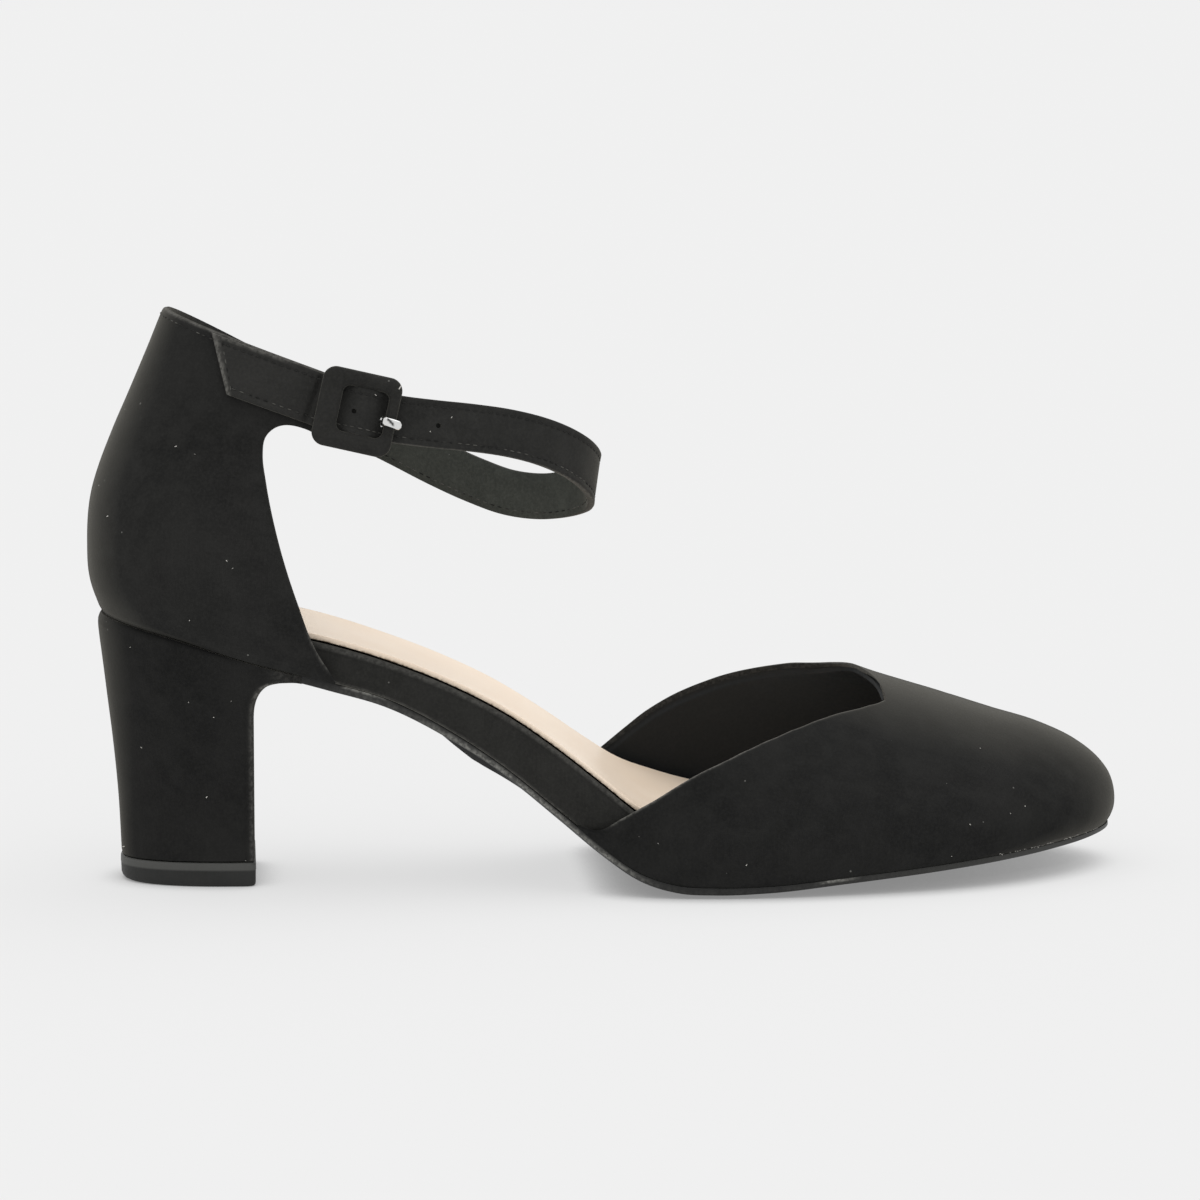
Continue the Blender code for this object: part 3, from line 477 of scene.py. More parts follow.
INSTEP_HEIGHT = 42.6 * MM
VAMP = table(
    "at feather crest side height",
    (0.000, 0.459, 0.459, 0.117, 1.740),
    (0.140, 0.543, 0.543, 0.143, 1.515),
    (0.270, 0.620, 0.620, 0.162, 1.315),
    (0.380, 0.689, 0.689, 0.173, 1.162),
    (0.500, 0.762, 0.762, 0.173, 1.002),
    (0.600, 0.823, 0.825, 0.164, 0.895),
    (0.690, 0.874, 0.883, 0.149, 0.795),
    (0.765, 0.913, 0.928, 0.130, 0.722),
    (0.830, 0.943, 0.963, 0.114, 0.634),
    (0.885, 0.965, 0.986, 0.100, 0.532),
    (0.930, 0.979, 0.997, 0.090, 0.430),
    (0.965, 0.9877, 1.000, 0.083, 0.327),
    (0.988, 0.9912, 0.998, 0.079, 0.256),
    (1.000, 0.9916, 0.993, 0.078, 0.222),
)
FULLNESS = {-1: 2.2, 1: 2.5}
VAMP_BULGE = 1.8 * MM
THROAT = 0.5046
THROAT_TURN = 0.360
TOPLINE = table(
    "at lateral medial",
    (0.000, 0.002, 0.997),
    (0.030, 0.011, 0.984),
    (0.070, 0.045, 0.946),
    (0.140, 0.097, 0.883),
    (0.270, 0.175, 0.786),
    (0.380, 0.252, 0.694),
    (0.440, 0.299, 0.626),
    (0.460, 0.315, 0.586),
    (0.475, 0.330, 0.540),
    (0.4845, 0.339, 0.500),
    (0.493, 0.348, 0.472),
    (0.499, 0.354, 0.445),
    (0.5025, 0.3575, 0.420),
    (0.5040, 0.359, 0.395),
    (0.5046, 0.360, 0.360),
)
VAMP_REAR = 80
VAMP_FRONT = 80
VAMP_ACROSS = 30
EDGE_STEPS = (0.0, 0.2, 0.42, 0.75, 1.1, 1.5, 2.0, 2.5, 2.9, 3.4, 4.2)  # mm from the topline
FOLD = 2.6 * MM  # width of the folded topline inside
CHIN = 11.0 * MM
foot_share = curve(VAMP, "feather")
crest_share = curve(VAMP, "crest")
crest_side = curve(VAMP, "side")
crest_height = curve(VAMP, "height")
topline_turn = {-1: curve(TOPLINE, "lateral"), 1: curve(TOPLINE, "medial")}


def vamp_row(at):
    """Places across the vamp at one row, by turn: 0 outer feather line, 1 inner feather line."""
    foot_x = min(BACK + foot_share(at) * LENGTH, TOE_POINT)
    foot_z = seat(foot_x)
    foot_y = {side: feather(foot_x, side) for side in (-1, 1)}
    top_x = BACK + crest_share(at) * LENGTH
    top_y = crest_side(at) * BALL_WIDTH
    top_z = max(crest_height(at) * INSTEP_HEIGHT, foot_z)

    def place(turn):
        side = -1 if turn < 0.5 else 1
        angle = math.pi * min(max(turn, 0.0), 1.0)
        out = abs(math.cos(angle)) ** (2 / FULLNESS[side])
        up = max(math.sin(angle), 0.0) ** (2 / FULLNESS[side])
        reach = min(1.0, abs(foot_y[side] - top_y) / (20 * MM))
        bulge = side * VAMP_BULGE * reach * up * (1 - up) ** 3 / 0.1055
        return Vector(
            (mix(foot_x, top_x, up), mix(top_y, foot_y[side], out) + bulge, mix(foot_z, top_z, up))
        )

    return place


def spaced(place, start, end, edge_steps, count):
    """Places from start to end at edge_steps, then evenly to the end, and their distances."""
    turns = [mix(start, end, i / 90) for i in range(91)]
    marks = [place(turn) for turn in turns]
    run = [0.0]
    for a, b in zip(marks, marks[1:]):
        run.append(run[-1] + (b - a).length)
    scale = min(1.0, run[-1] / (12 * MM)) * MM
    stops = [step * scale for step in edge_steps]
    stops += [mix(stops[-1], run[-1], (i + 1) / count) for i in range(count)]
    return [place(float(np.interp(stop, run, turns))) for stop in stops], stops


def grid_faces(rows, wide, start=0):
    return [
        (at + j, at + j + 1, at + wide + j + 1, at + wide + j)
        for at in range(start, start + (rows - 1) * wide, wide)
        for j in range(wide - 1)
    ]


ROLL = 1.3 * MM  # reach of the rolled edge


def edge_roll(distance):
    """Depth by which the outer face rolls in at a distance from its cut edge."""
    left = 1 - min(distance / ROLL, 1.0)
    return 0.62 * ROLL * (1 - math.sqrt(max(0.0, 1 - left * left)))


def roll_in(made, rolls):
    """Move a sheet's points in by the depths that rolls holds for their places."""
    normals = [v.normal.copy() for v in made.data.vertices]
    for v, normal in zip(made.data.vertices, normals):
        v.co -= normal * rolls.get(tuple(round(c / MM, 2) for c in v.co), 0.0)


def sheet(name, points, faces, finishes, marks_and_painted_light, weights):
    """Outer face of an upper, with the share of the wall's thickness at each point."""
    made = piece(name, points, faces, finishes, marks_and_painted_light)
    group = made.vertex_groups.new(name="wall")
    for i, weight in enumerate(weights):
        group.add([i], weight, "REPLACE")
    return finish_mesh(made)


def bake(made):
    """Keep what a piece's modifiers make as its plain mesh."""
    graph = bpy.context.evaluated_depsgraph_get()
    mesh = bpy.data.meshes.new_from_object(made.evaluated_get(graph))
    made.modifiers.clear()
    made.data = mesh
    return made


def hollow(made):
    """Wall with skived edges, soft rims and the lining on its inner face."""
    wall = made.modifiers.new("wall", "SOLIDIFY")
    wall.thickness = WALL
    wall.offset = -1.0
    wall.vertex_group = "wall"
    wall.material_offset = 1
    soft = made.modifiers.new("soft_rim", "BEVEL")
    soft.width = 0.36 * MM
    soft.segments = 3
    soft.limit_method = "ANGLE"
    soft.angle_limit = math.radians(48)
    return bake(made)


rows_at = [THROAT * (1 - (1 - i / VAMP_REAR) ** 1.8) for i in range(VAMP_REAR)]
rows_at += [mix(THROAT, 1.0, math.sin(math.pi / 2 * i / VAMP_FRONT)) for i in range(VAMP_FRONT + 1)]
points = []
faces = []
weights = []
marks_and_painted_light = []
rolls = {}
TOPLINE_WAVE = {-1: 0.0013, 1: 0.0003}  # in turns
# Pale topline rim by side: frayed edge and painted highlight, much stronger on the outer side.
TOPLINE_PALE = {-1: 1.0, 1: 0.25}
DIMPLE = 13 * MM  # size and depth of the cloth's soft unevenness
DIMPLE_DEPTH = 0.07 * MM
LAP = 2.6 * MM  # soft trough above the feather line where the cloth turns over the board
LAP_DEPTH = 0.20 * MM
for side in (-1, 1):
    start = len(points)
    for at in rows_at:
        if at < THROAT:
            wave = TOPLINE_WAVE[side] * noise.noise((at * 38, 5.0 * side, 0.5))
            edge = topline_turn[side](at) + wave * ease(at / 0.05)
        else:
            edge = mix(THROAT_TURN, 0.5, min(1.0, (at - THROAT) / (0.85 - THROAT)))
        feet = 0.0 if side < 0 else 1.0
        places, stops = spaced(vamp_row(at), edge, feet, EDGE_STEPS, VAMP_ACROSS)
        points += places
        for place, stop in zip(places, stops):
            # Pale topline rim, frayed edge and painted highlight, turning to painted shade near the rear end
            # where the vamp meets the band; a pale line along the feather line at the forefoot.
            topline = 1 - ease((at - THROAT) / 0.006 + 1)
            foot = 0.7 * ease((at - 0.74) / 0.06) * bell(stops[-1] - stop, 0.5 * MM)
            rim = bell(stop - 0.10 * MM, 0.27 * MM) * TOPLINE_PALE[side]
            marks_and_painted_light.append(topline * rim * mix(-0.5, 1.0, ease((at - 0.012) / 0.065)) + foot)
            rolled = (1 - ease((at - THROAT) / 0.02 + 1)) * mix(0.2, 1.0, ease(at / 0.12))
            trough = bell(stops[-1] - stop - LAP, 0.9 * MM) * ease(at / 0.03)
            depth = edge_roll(stop) * rolled + DIMPLE_DEPTH * noise.noise(place / DIMPLE)
            depth += LAP_DEPTH * trough * (1 - ease((at - 0.25) / 0.2))
            rolls[tuple(round(c / MM, 2) for c in place)] = depth
        thin = mix(0.40, 0.70, ease(at / 0.12)) - 0.25 * ease((at - 0.40) / 0.06)
        for stop in stops:
            full = max(ease((stop - FOLD + 0.4 * MM) / (0.5 * MM)), ease((at - THROAT) / 0.04))
            weights.append(mix(thin, mix(thin, 1.0, ease(at / 0.20)), full))
    faces += grid_faces(len(rows_at), len(EDGE_STEPS) + VAMP_ACROSS, start)
vamp_suede = microsuede("vamp_microsuede", (0.0080, 0.0081, 0.0079), (0.0150, 0.0150, 0.0143))
black_lining = smooth_lining("black_lining", (0.0042, 0.0058, 0.0067), (0.0034, 0.0047, 0.0054), 0.62, 1500)
vamp = sheet("vamp", points, faces, [vamp_suede, black_lining], marks_and_painted_light, weights)
tip = Vector((TOE_POINT, TOE_SIDE, seat(TOE_POINT)))
roll_in(vamp, rolls)
shape = bmesh.new()
shape.from_mesh(vamp.data)
for _ in range(40):
    near = [v for v in shape.verts if not v.is_boundary and (v.co - tip).length < CHIN]
    moved = {}
    for v in near:
        pull = 0.5 * (1 - ((v.co - tip).length / CHIN) ** 2)
        mean = sum((e.other_vert(v).co for e in v.link_edges), Vector()) / len(v.link_edges)
        moved[v] = v.co.lerp(mean, pull)
    for v, place in moved.items():
        v.co = place
shape.to_mesh(vamp.data)
shape.free()
hollow(vamp)
settle(vamp, "vamp_suede", "upper_vamp")

# Quarter: the back of the upper, lined like the vamp and stiffened at the heel. It is one piece
# round the back with an ear on each side that carries a strap, and its collar is folded and sewn.

HEEL_SEAT_WIDTH = 50.8 * MM
QUARTER_SLOPE = 0.30
QUARTER = table(
    "level_mm back_mm half",
    (61.2, 2.9, 0.500),
    (66.8, 0.7, 0.545),
    (76.0, 0.0, 0.577),
    (86.8, 1.0, 0.577),
    (93.5, 2.8, 0.558),
    (101.8, 5.7, 0.530),
    (112.0, 9.7, 0.498),
    (122.8, 13.8, 0.464),
    (131.0, 16.8, 0.440),
    (135.0, 18.4, 0.429),
)
QUARTER_FRONT = table(
    "at x_mm z_mm inner_x_mm inner_z_mm",
    (0.00, 54.4, 46.6, 50.4, 47.6),
    (0.08, 50.5, 53.0, 46.6, 53.0),
    (0.22, 46.0, 65.0, 42.8, 64.5),
    (0.38, 42.2, 78.0, 39.8, 77.0),
    (0.54, 39.6, 91.0, 37.8, 88.5),
    (0.61, 38.95, 96.6, 37.4, 93.0),
    (0.67, 39.6, 100.7, 38.2, 96.6),
    (0.72, 42.0, 102.8, 41.0, 98.8),
    (0.77, 45.4, 103.1, 43.8, 99.5),
    (0.81, 49.2, 101.9, 46.2, 99.3),
    (0.845, 52.4, 100.0, 48.4, 98.6),
    (0.87, 53.6, 101.4, 49.4, 99.8),
    (1.00, 54.4, 113.8, 50.6, 109.8),
)
COLLAR_BACK = 127.6 * MM
COLLAR_LEVEL = COLLAR_BACK + QUARTER_SLOPE * 17.9 * MM
COLUMNS = [(j / 40) ** 1.7 for j in range(39)]  # shares across the quarter
COLUMNS += [0.952, 0.968, 0.980, 0.990, 1.0]
QUARTER_ACROSS = len(COLUMNS) - 1
SEAM_LAP = 0.25 * MM
SEAM_DEPTH = 0.42 * MM  # the quarter draws in to the heel at the back
back_reach = curve(QUARTER, "back")
half_share = curve(QUARTER, "half")
front_line = {
    -1: (curve(QUARTER_FRONT, "x"), curve(QUARTER_FRONT, "z")),
    1: (curve(QUARTER_FRONT, "inner_x"), curve(QUARTER_FRONT, "inner_z")),
}


def quarter_half(x, z):
    """Half width of the quarter's outer face at a place in side view."""
    level = z + QUARTER_SLOPE * (x - BACK)
    half = half_share(level) * HEEL_SEAT_WIDTH
    return half * arc((x - BACK - back_reach(level)) / HEEL_ROUND, HEEL_ROUNDNESS)


def quarter_face(x, z, side, out=0.0):
    """Place on the quarter's outer face, moved outwards along its normal."""
    step = 0.5 * MM
    to_x = (quarter_half(x + step, z) - quarter_half(x - step, z)) / (2 * step)
    to_z = (quarter_half(x, z + step) - quarter_half(x, z - step)) / (2 * step)
    normal = Vector((-to_x, 1.0, -to_z)).normalized()
    y = quarter_half(x, z) + normal.y * out
    return Vector((x + normal.x * out, side * y, z + normal.z * out))


def quarter_line(p, side):
    """Side-view places along one level of the quarter, from the back to its front edge."""
    level = mix(QUARTER[0].level, COLLAR_LEVEL, p)
    back_x = BACK + back_reach(level)
    back_z = level - QUARTER_SLOPE * (back_x - BACK)
    to_x, to_z = front_line[side]
    front_x = BACK + to_x(p)
    front_z = to_z(p)

    def place(t):
        x = mix(back_x, front_x, t)
        sag = (seat(x) - mix(seat(back_x), seat(front_x), t)) * (1 - p) ** 3
        return x, mix(back_z, front_z, t) + sag

    return place


EAR_ROOT = 0.70  # share of the height where the ear starts to stand out
EAR_TIP = 0.845
COLLAR_SPLIT = 0.57  # share of the collar that lies behind the ear
SIDE_ROWS = [0.0, 0.007, 0.014, 0.022] + [i / 60 for i in range(2, 61)]  # shares of the height below the ear
TOP_ROWS = 28
EAR_ACROSS = 22
COLLAR_STEPS = (3.1, 2.6, 2.1, 1.6, 1.2, 0.8, 0.42, 0.0)  # mm below the collar


def quarter_rows(side):
    """Side-view places of the rows below the ear and of those up to the collar, from back to front."""
    low = []
    for row in SIDE_ROWS:
        place = quarter_line(EAR_ROOT * row, side)
        low.append([place(share) for share in COLUMNS])
    low[0] = [(x, z - SEAM_LAP) for x, z in low[0]]
    to_x, to_z = front_line[side]
    under = [(BACK + to_x(p), to_z(p)) for p in np.linspace(EAR_ROOT, EAR_TIP, 120)]
    run = np.concatenate(([0.0], np.cumsum([math.dist(a, b) for a, b in zip(under, under[1:])])))
    stops = np.linspace(0.0, run[-1], EAR_ACROSS + 1)[1:]
    bottom = low[-1] + [tuple(np.interp(stop, run, line) for line in zip(*under)) for stop in stops]
    collar = quarter_line(1.0, side)
    top = [collar(COLLAR_SPLIT * share) for share in COLUMNS]
    top += [collar(mix(COLLAR_SPLIT, 1.0, (j + 1) / EAR_ACROSS)) for j in range(EAR_ACROSS)]
    steps = [i / TOP_ROWS * (1 - 0.17) for i in range(TOP_ROWS)] + [1 - d / 24 for d in COLLAR_STEPS]
    high = []
    for q in steps:
        back = np.array(quarter_line(mix(EAR_ROOT, 1.0, q), side)(0.0))
        shift = mix(np.array(bottom) - bottom[0], np.array(top) - top[0], q)
        high.append([tuple(back + offset) for offset in shift])
    return low, high


points = []
faces = []
edges = []
for side in (-1, 1):
    low, high = quarter_rows(side)
    for rows in (low, high):
        faces += grid_faces(len(rows), len(rows[0]), len(points))
        points += [Vector((x, side * quarter_half(x, z), z)) for row in rows for x, z in row]
    front = [row[-1] for row in low] + high[0][QUARTER_ACROSS:] + [row[-1] for row in high]
    edges.append((np.array(front), np.array(high[-1])))
weights = []
marks_and_painted_light = []
rolls = {}
for place in points:
    front, collar = edges[0 if place.y < 0 else 1]
    to_front, to_collar = (np.hypot(*(line - (place.x, place.z)).T).min() for line in (front, collar))
    to_seat = place.z - seat(place.x)
    weight = mix(0.50, 1.0, ease(to_front / (4 * MM)))
    weights.append(min(weight, mix(0.72, 1.0, ease((to_collar - 2.3 * MM) / (0.6 * MM)))))
    # Pale rims along the collar and the low front edge; painted shade along the bottom edge at the back,
    # where the quarter meets the heel.
    low_front = 0.7 * bell(to_front, 0.35 * MM) * (1 - ease((place.z - 56 * MM) / (6 * MM)))
    closing = 1 - ease((place.x - BACK - 18 * MM) / (16 * MM))
    painted_darkness = closing * bell(max(to_seat, 0.0), 0.45 * MM)
    rim = 0.8 * bell(to_collar - 0.40 * MM, 0.30 * MM)
    marks_and_painted_light.append(max(rim, low_front * ease((to_seat - 2 * MM) / (2 * MM))) - painted_darkness)
    seam = SEAM_DEPTH * closing * (1 - min(max(to_seat, 0.0) / (1.2 * MM), 1.0)) ** 2
    depth = max(edge_roll(to_collar), edge_roll(to_front) * ease(to_seat / (3 * MM)), seam)
    rolls[tuple(round(c / MM, 2) for c in place)] = depth + DIMPLE_DEPTH * noise.noise(place / DIMPLE)
quarter_suede = microsuede("quarter_microsuede", (0.0105, 0.0106, 0.0102), (0.0185, 0.0184, 0.0174))
quarter = sheet("quarter", points, faces, [quarter_suede, black_lining], marks_and_painted_light, weights)
roll_in(quarter, rolls)
hollow(quarter)
settle(quarter, "quarter_suede", "upper_quarter")

# Buckle tab: a short doubled strap of microsuede, sewn on the outer ear with a row of stitches
# round its slanted end, that holds the buckle at its front end.

TAB_WIDTH = 11.3 * MM
TAB_THICK = 1.5 * MM
TAB_SLANT = 0.22
TAB_BACK = 29.9 * MM
TAB_BACK_HEIGHT = 116.25 * MM
TAB_FALL = 0.367
TAB_FRONT = 57.9 * MM
TAB_STEPS = 80
TAB_FOLD = 0.72  # share of its length where it turns round the centre bar
STITCH_INSET = 1.5 * MM


def strap_profile(width, thick):
    """Section of a doubled strap: places across it and out of its inner face, going round."""
    half = width / 2
    edge = 0.32 * MM
    inner = [(-half + edge, 0.0), (-half * 0.5, 0.0), (0.0, 0.0), (half * 0.5, 0.0), (half - edge, 0.0)]
    inner += [(half - 0.3 * edge, 0.3 * edge), (half, edge)]
    outer = [(half, thick - 1.4 * edge), (half - 0.25 * edge, thick - 0.55 * edge), (half - edge, thick)]
    for inset, dip in ((0.9, 0.0), (1.25, 0.10), (1.5, 0.16), (1.75, 0.10), (2.2, 0.0), (3.2, -0.03)):
        outer.append((half - inset * MM, thick - dip * MM))
    outer.append((0.0, thick + 0.05 * MM))
    outer += [(-b, n) for b, n in outer[-2::-1]]
    return inner + outer + [(-half, edge), (-half + 0.3 * edge, 0.3 * edge)]


def sewn_place(x, b, height, fall, side, slant, out):
    """Place on a strap that lies on the quarter: b across it and out over the quarter's face.

    slant 0 is square to the strap and 1 leans as its sewn end does.
    """
    z = height - fall * (x - BACK - TAB_BACK)
    square = math.atan(fall)
    lean = mix(square, -math.atan(TAB_SLANT), slant)
    b /= math.cos(square - lean)
    return quarter_face(x + b * math.sin(lean), z + b * math.cos(lean), side, GAP + out)


section = strap_profile(TAB_WIDTH, TAB_THICK)
rings = []
marks_and_painted_light = []
for i in range(TAB_STEPS + 1):
    t = i / TAB_STEPS
    x = mix(BACK + TAB_BACK, BACK + TAB_FRONT, t)
    slant = max(0.0, 1 - 2 * t)
    end = 1 - 0.50 * bell(t * TAB_STEPS, 2.0) - 0.40 * bell(t - TAB_FOLD, 0.022)
    for b, n in section:
        upper = 0.6 * (b > TAB_WIDTH / 2 - 0.4 * MM) * (1 - ease((t - 0.35) / 0.2))
        marks_and_painted_light.append(max(upper, bell(t * TAB_STEPS - 1.2, 2.1)))
    rings.append([sewn_place(x, b, TAB_BACK_HEIGHT, TAB_FALL, -1, slant, n * end) for b, n in section])
tab_suede = microsuede("tab_microsuede", (0.0185, 0.0185, 0.0175), (0.0270, 0.0267, 0.0250), 0.35)
tab = loft("buckle_tab_strap", rings, [tab_suede], marks_and_painted_light=marks_and_painted_light)
settle(tab, "tab_suede", "buckle_tab")

# Ankle strap: a long doubled strap of microsuede, with a greyer, worn face inside, sewn
# on the inner ear. It runs round the front of the ankle into the buckle, with punched holes.

STRAP_WIDTH = 10.4 * MM
STRAP_THICK = 1.7 * MM
INNER_BACK_HEIGHT = 114.0 * MM
INNER_FALL = 0.49
EAR_END = 50.6 * MM
STRAP_STEPS = 190
SEWN_STEPS = 30
BAR_RISE = 2.40 * MM
BAR_RISE_REACH = 3.7 * MM
HOLE_ACROSS = 1.1 * MM
HOLE_DEPTH = 0.9 * MM  # the lining behind is whole
HOLES = (-1.3 * MM, 17.3 * MM)  # along the strap from the buckle's middle
PRONG_HOLE = 5.4 * MM
PRONG_SIDE = -1.1 * MM
STRAP = table(
    "x_mm y_mm z_mm lean",
    (-63.2, -26.6, 107.80, -9),
    (-56.4, -26.6, 106.10, -9),
    (-48.0, -26.5, 104.40, -8),
    (-40.0, -25.9, 103.30, -6),
    (-32.0, -24.4, 102.30, -4),
    (-24.0, -22.0, 100.90, -2),
    (-17.0, -18.8, 98.90, 1),
    (-11.0, -14.4, 96.20, 4),
    (-6.0, -8.4, 92.60, 7),
    (-3.6, -1.5, 89.00, 8),
    (-4.4, 5.2, 86.10, 7),
    (-8.4, 10.8, 84.10, 5),
    (-14.5, 15.0, 83.10, 3),
    (-21.5, 17.8, 83.80, 1),
    (-29.0, 19.7, 86.40, -1),
    (-37.0, 21.2, 90.00, -3),
    (-46.0, 22.7, 94.60, -5),
    (-55.0, 23.9, 99.10, -7),
    (-61.5, 24.7, 102.30, -8),
)
travel = [0.0]
for before, after in zip(STRAP, STRAP[1:]):
    travel.append(travel[-1] + math.dist(before[:3], after[:3]))
BUCKLE_AT = travel[1]
PLACES = table("at x y z lean", *((s, *row) for s, row in zip(travel, STRAP)))
strap_line = [curve(PLACES, column) for column in ("x", "y", "z")]
strap_lean = curve(PLACES, "lean")


def strap_frame(s):
    """Middle of the free strap and its directions along, across and outwards."""
    step = 0.5 * MM
    middle, ahead, behind = (Vector([line(at) for line in strap_line]) for at in (s, s + step, s - step))
    forward = (ahead - behind).normalized()
    level_out = forward.cross(Vector((0, 0, 1))).normalized()
    lean = math.radians(strap_lean(s))
    up = Vector((0, 0, math.cos(lean))) + level_out * math.sin(lean)
    up = (up - forward * up.dot(forward)).normalized()
    return middle, forward, up, forward.cross(up).normalized()


def over_bar(s):
    """Rise of the strap where it goes over the buckle's centre bar."""
    return BAR_RISE * bell(s - BUCKLE_AT - 0.5 * MM, BAR_RISE_REACH, 4)


def combine(made, tools, operation, sharp):
    """Cut closed shapes out of a piece, or join them to it."""
    for tool in tools:
        step = made.modifiers.new(tool.name, "BOOLEAN")
        step.operation = operation
        step.solver = "EXACT"
        step.object = tool
    bake(made)
    for tool in tools:
        bpy.data.objects.remove(tool, do_unlink=True)
    made.data.set_sharp_from_angle(angle=math.radians(sharp))


section = strap_profile(STRAP_WIDTH, STRAP_THICK)
rings = []
for i in range(STRAP_STEPS + 1):
    s = travel[-1] * i / STRAP_STEPS
    middle, forward, up, out = strap_frame(s)
    shrink = 1 - 0.45 * bell(s, 0.5 * MM)
    rise = out * over_bar(s)
    rings.append([middle + up * b + out * (n - STRAP_THICK / 2) * shrink + rise for b, n in section])
for i in range(SEWN_STEPS + 1):
    t = i / SEWN_STEPS
    x = mix(BACK + EAR_END, BACK + TAB_BACK, t)
    slant = max(0.0, 2 * t - 1)
    end = 1 - 0.55 * bell((1 - t) * SEWN_STEPS, 1.2)
    rings.append([sewn_place(x, b, INNER_BACK_HEIGHT, INNER_FALL, 1, slant, n * end) for b, n in section])
strap_suede = microsuede("strap_microsuede", (0.0172, 0.0173, 0.0163), (0.0255, 0.0254, 0.0238), 0.35)
strap_lining = microsuede("strap_inside", (0.038, 0.041, 0.0365), (0.050, 0.0535, 0.0475), 0.35)
rim = [0.45 if b < 0.3 * MM - STRAP_WIDTH / 2 and n > 0.3 * STRAP_THICK else 0.0 for b, n in section]
strap = loft("ankle_strap_run", rings, [strap_suede, strap_lining], marks_and_painted_light=rim * len(rings))
buckle_middle, buckle_forward, buckle_up, buckle_out = strap_frame(BUCKLE_AT)
for face in strap.data.polygons:
    s = min(range(len(rings)), key=lambda i: (rings[i][2] - face.center).length)
    inward = rings[s][2] - rings[s][len(section) // 2 + 2]
    if face.normal.dot(inward.normalized()) > 0.75:
        face.material_index = 1


def rod(name, s, aside, across, long=1.0, depth=2 * STRAP_THICK):
    """Punch for a hole into the strap, at a distance along it."""
    middle, forward, up, out = strap_frame(s)
    middle = middle + up * aside + out * over_bar(s)
    reach = forward * across / 2 * long
    half = up * across / 2
    turns = [2 * math.pi * k / 20 for k in range(20)]
    ends = [middle + out * n for n in (STRAP_THICK / 2 - depth, 2 * STRAP_THICK)]
    rings = [[end + reach * math.cos(a) + half * math.sin(a) for a in turns] for end in ends]
    return loft(name, rings, [strap_suede])


punches = [
    rod(f"punch_{i}", BUCKLE_AT + hole, -0.3 * MM, HOLE_ACROSS, depth=HOLE_DEPTH)
    for i, hole in enumerate(HOLES)
]
punches.append(rod("punch_prong", BUCKLE_AT + PRONG_HOLE, PRONG_SIDE, 2.5 * MM, 0.65))
combine(strap, punches, "DIFFERENCE", 38)
settle(strap, "strap_suede", "ankle_strap")

# Buckle: a metal frame covered with the same cloth, so its bars are soft and round, with two
# short posts and a centre bar that the tab and the prong are fixed on, under the strap.

BUCKLE_LENGTH = 17.5 * MM
BUCKLE_HEIGHT = 17.5 * MM
BUCKLE_MIDDLE = (-0.65 * MM, -0.25 * MM)  # from the centre bar, along and across
WINDOW_LENGTH = 10.1 * MM
WINDOW_HEIGHT = 10.1 * MM
WINDOW_MIDDLE = (0.55 * MM, 0.0)
BUCKLE_THICK = 2.6 * MM
BUCKLE_CORNER = 2.9 * MM
WINDOW_CORNER = 1.6 * MM
CENTRE_BAR = 1.5 * MM
POST = 1.8 * MM
STRAP_PLAY = 0.4 * MM  # room for the strap in the buckle
FRAME_LOW = STRAP_THICK / 2 + STRAP_PLAY
FRAME_HIGH = FRAME_LOW + BUCKLE_THICK
BUCKLE_ROUND = 28


def in_buckle(a, b, n):
    """Place from its distances along, across and out of the strap's middle in the buckle."""
    return buckle_middle + buckle_forward * a + buckle_up * b + buckle_out * n


def rounded(length, height, corner, centre, steps=10):
    """Corner points of a rounded rectangle about its centre, with a few points on its sides."""
    outline = []
    for turn, (sa, sb) in enumerate(((1, 1), (-1, 1), (-1, -1), (1, -1))):
        for i in range(steps + 1):
            angle = math.radians(90 * (turn + i / steps))
            a = centre[0] + sa * (length / 2 - corner) + corner * math.cos(angle)
            b = centre[1] + sb * (height / 2 - corner) + corner * math.sin(angle)
            outline.append((a, b))
    dense = []
    for (a, b), (c, d) in zip(outline, outline[1:] + outline[:1]):
        parts = 8 if math.hypot(c - a, d - b) > 2 * MM else 1
        dense += [(mix(a, c, k / parts), mix(b, d, k / parts)) for k in range(parts)]
    return dense


def power(value, exponent):
    return math.copysign(abs(value) ** exponent, value)


outside = rounded(BUCKLE_LENGTH, BUCKLE_HEIGHT, BUCKLE_CORNER, BUCKLE_MIDDLE)
window = rounded(WINDOW_LENGTH, WINDOW_HEIGHT, WINDOW_CORNER, WINDOW_MIDDLE)
points = []
for k in range(BUCKLE_ROUND):
    angle = 2 * math.pi * k / BUCKLE_ROUND
    share = (1 - math.cos(angle)) / 2
    n = mix(FRAME_LOW, FRAME_HIGH, (1 + math.sin(angle)) / 2)
    points += [in_buckle(mix(a, c, share), mix(b, d, share), n) for (a, b), (c, d) in zip(outside, window)]
faces = tube_faces(BUCKLE_ROUND, len(outside), True)
buckle_suede = microsuede("buckle_microsuede", (0.0165, 0.0165, 0.0155), (0.0245, 0.0242, 0.0225), 0.3, 0.15)
buckle = finish_mesh(piece("covered_buckle", points, faces, [buckle_suede]), 60)
bar_high = -STRAP_THICK / 2 - GAP
bar_low = bar_high - CENTRE_BAR
post_in = STRAP_WIDTH / 2 + STRAP_PLAY
post_out = post_in + POST
bar_half = CENTRE_BAR / 2
bars = []
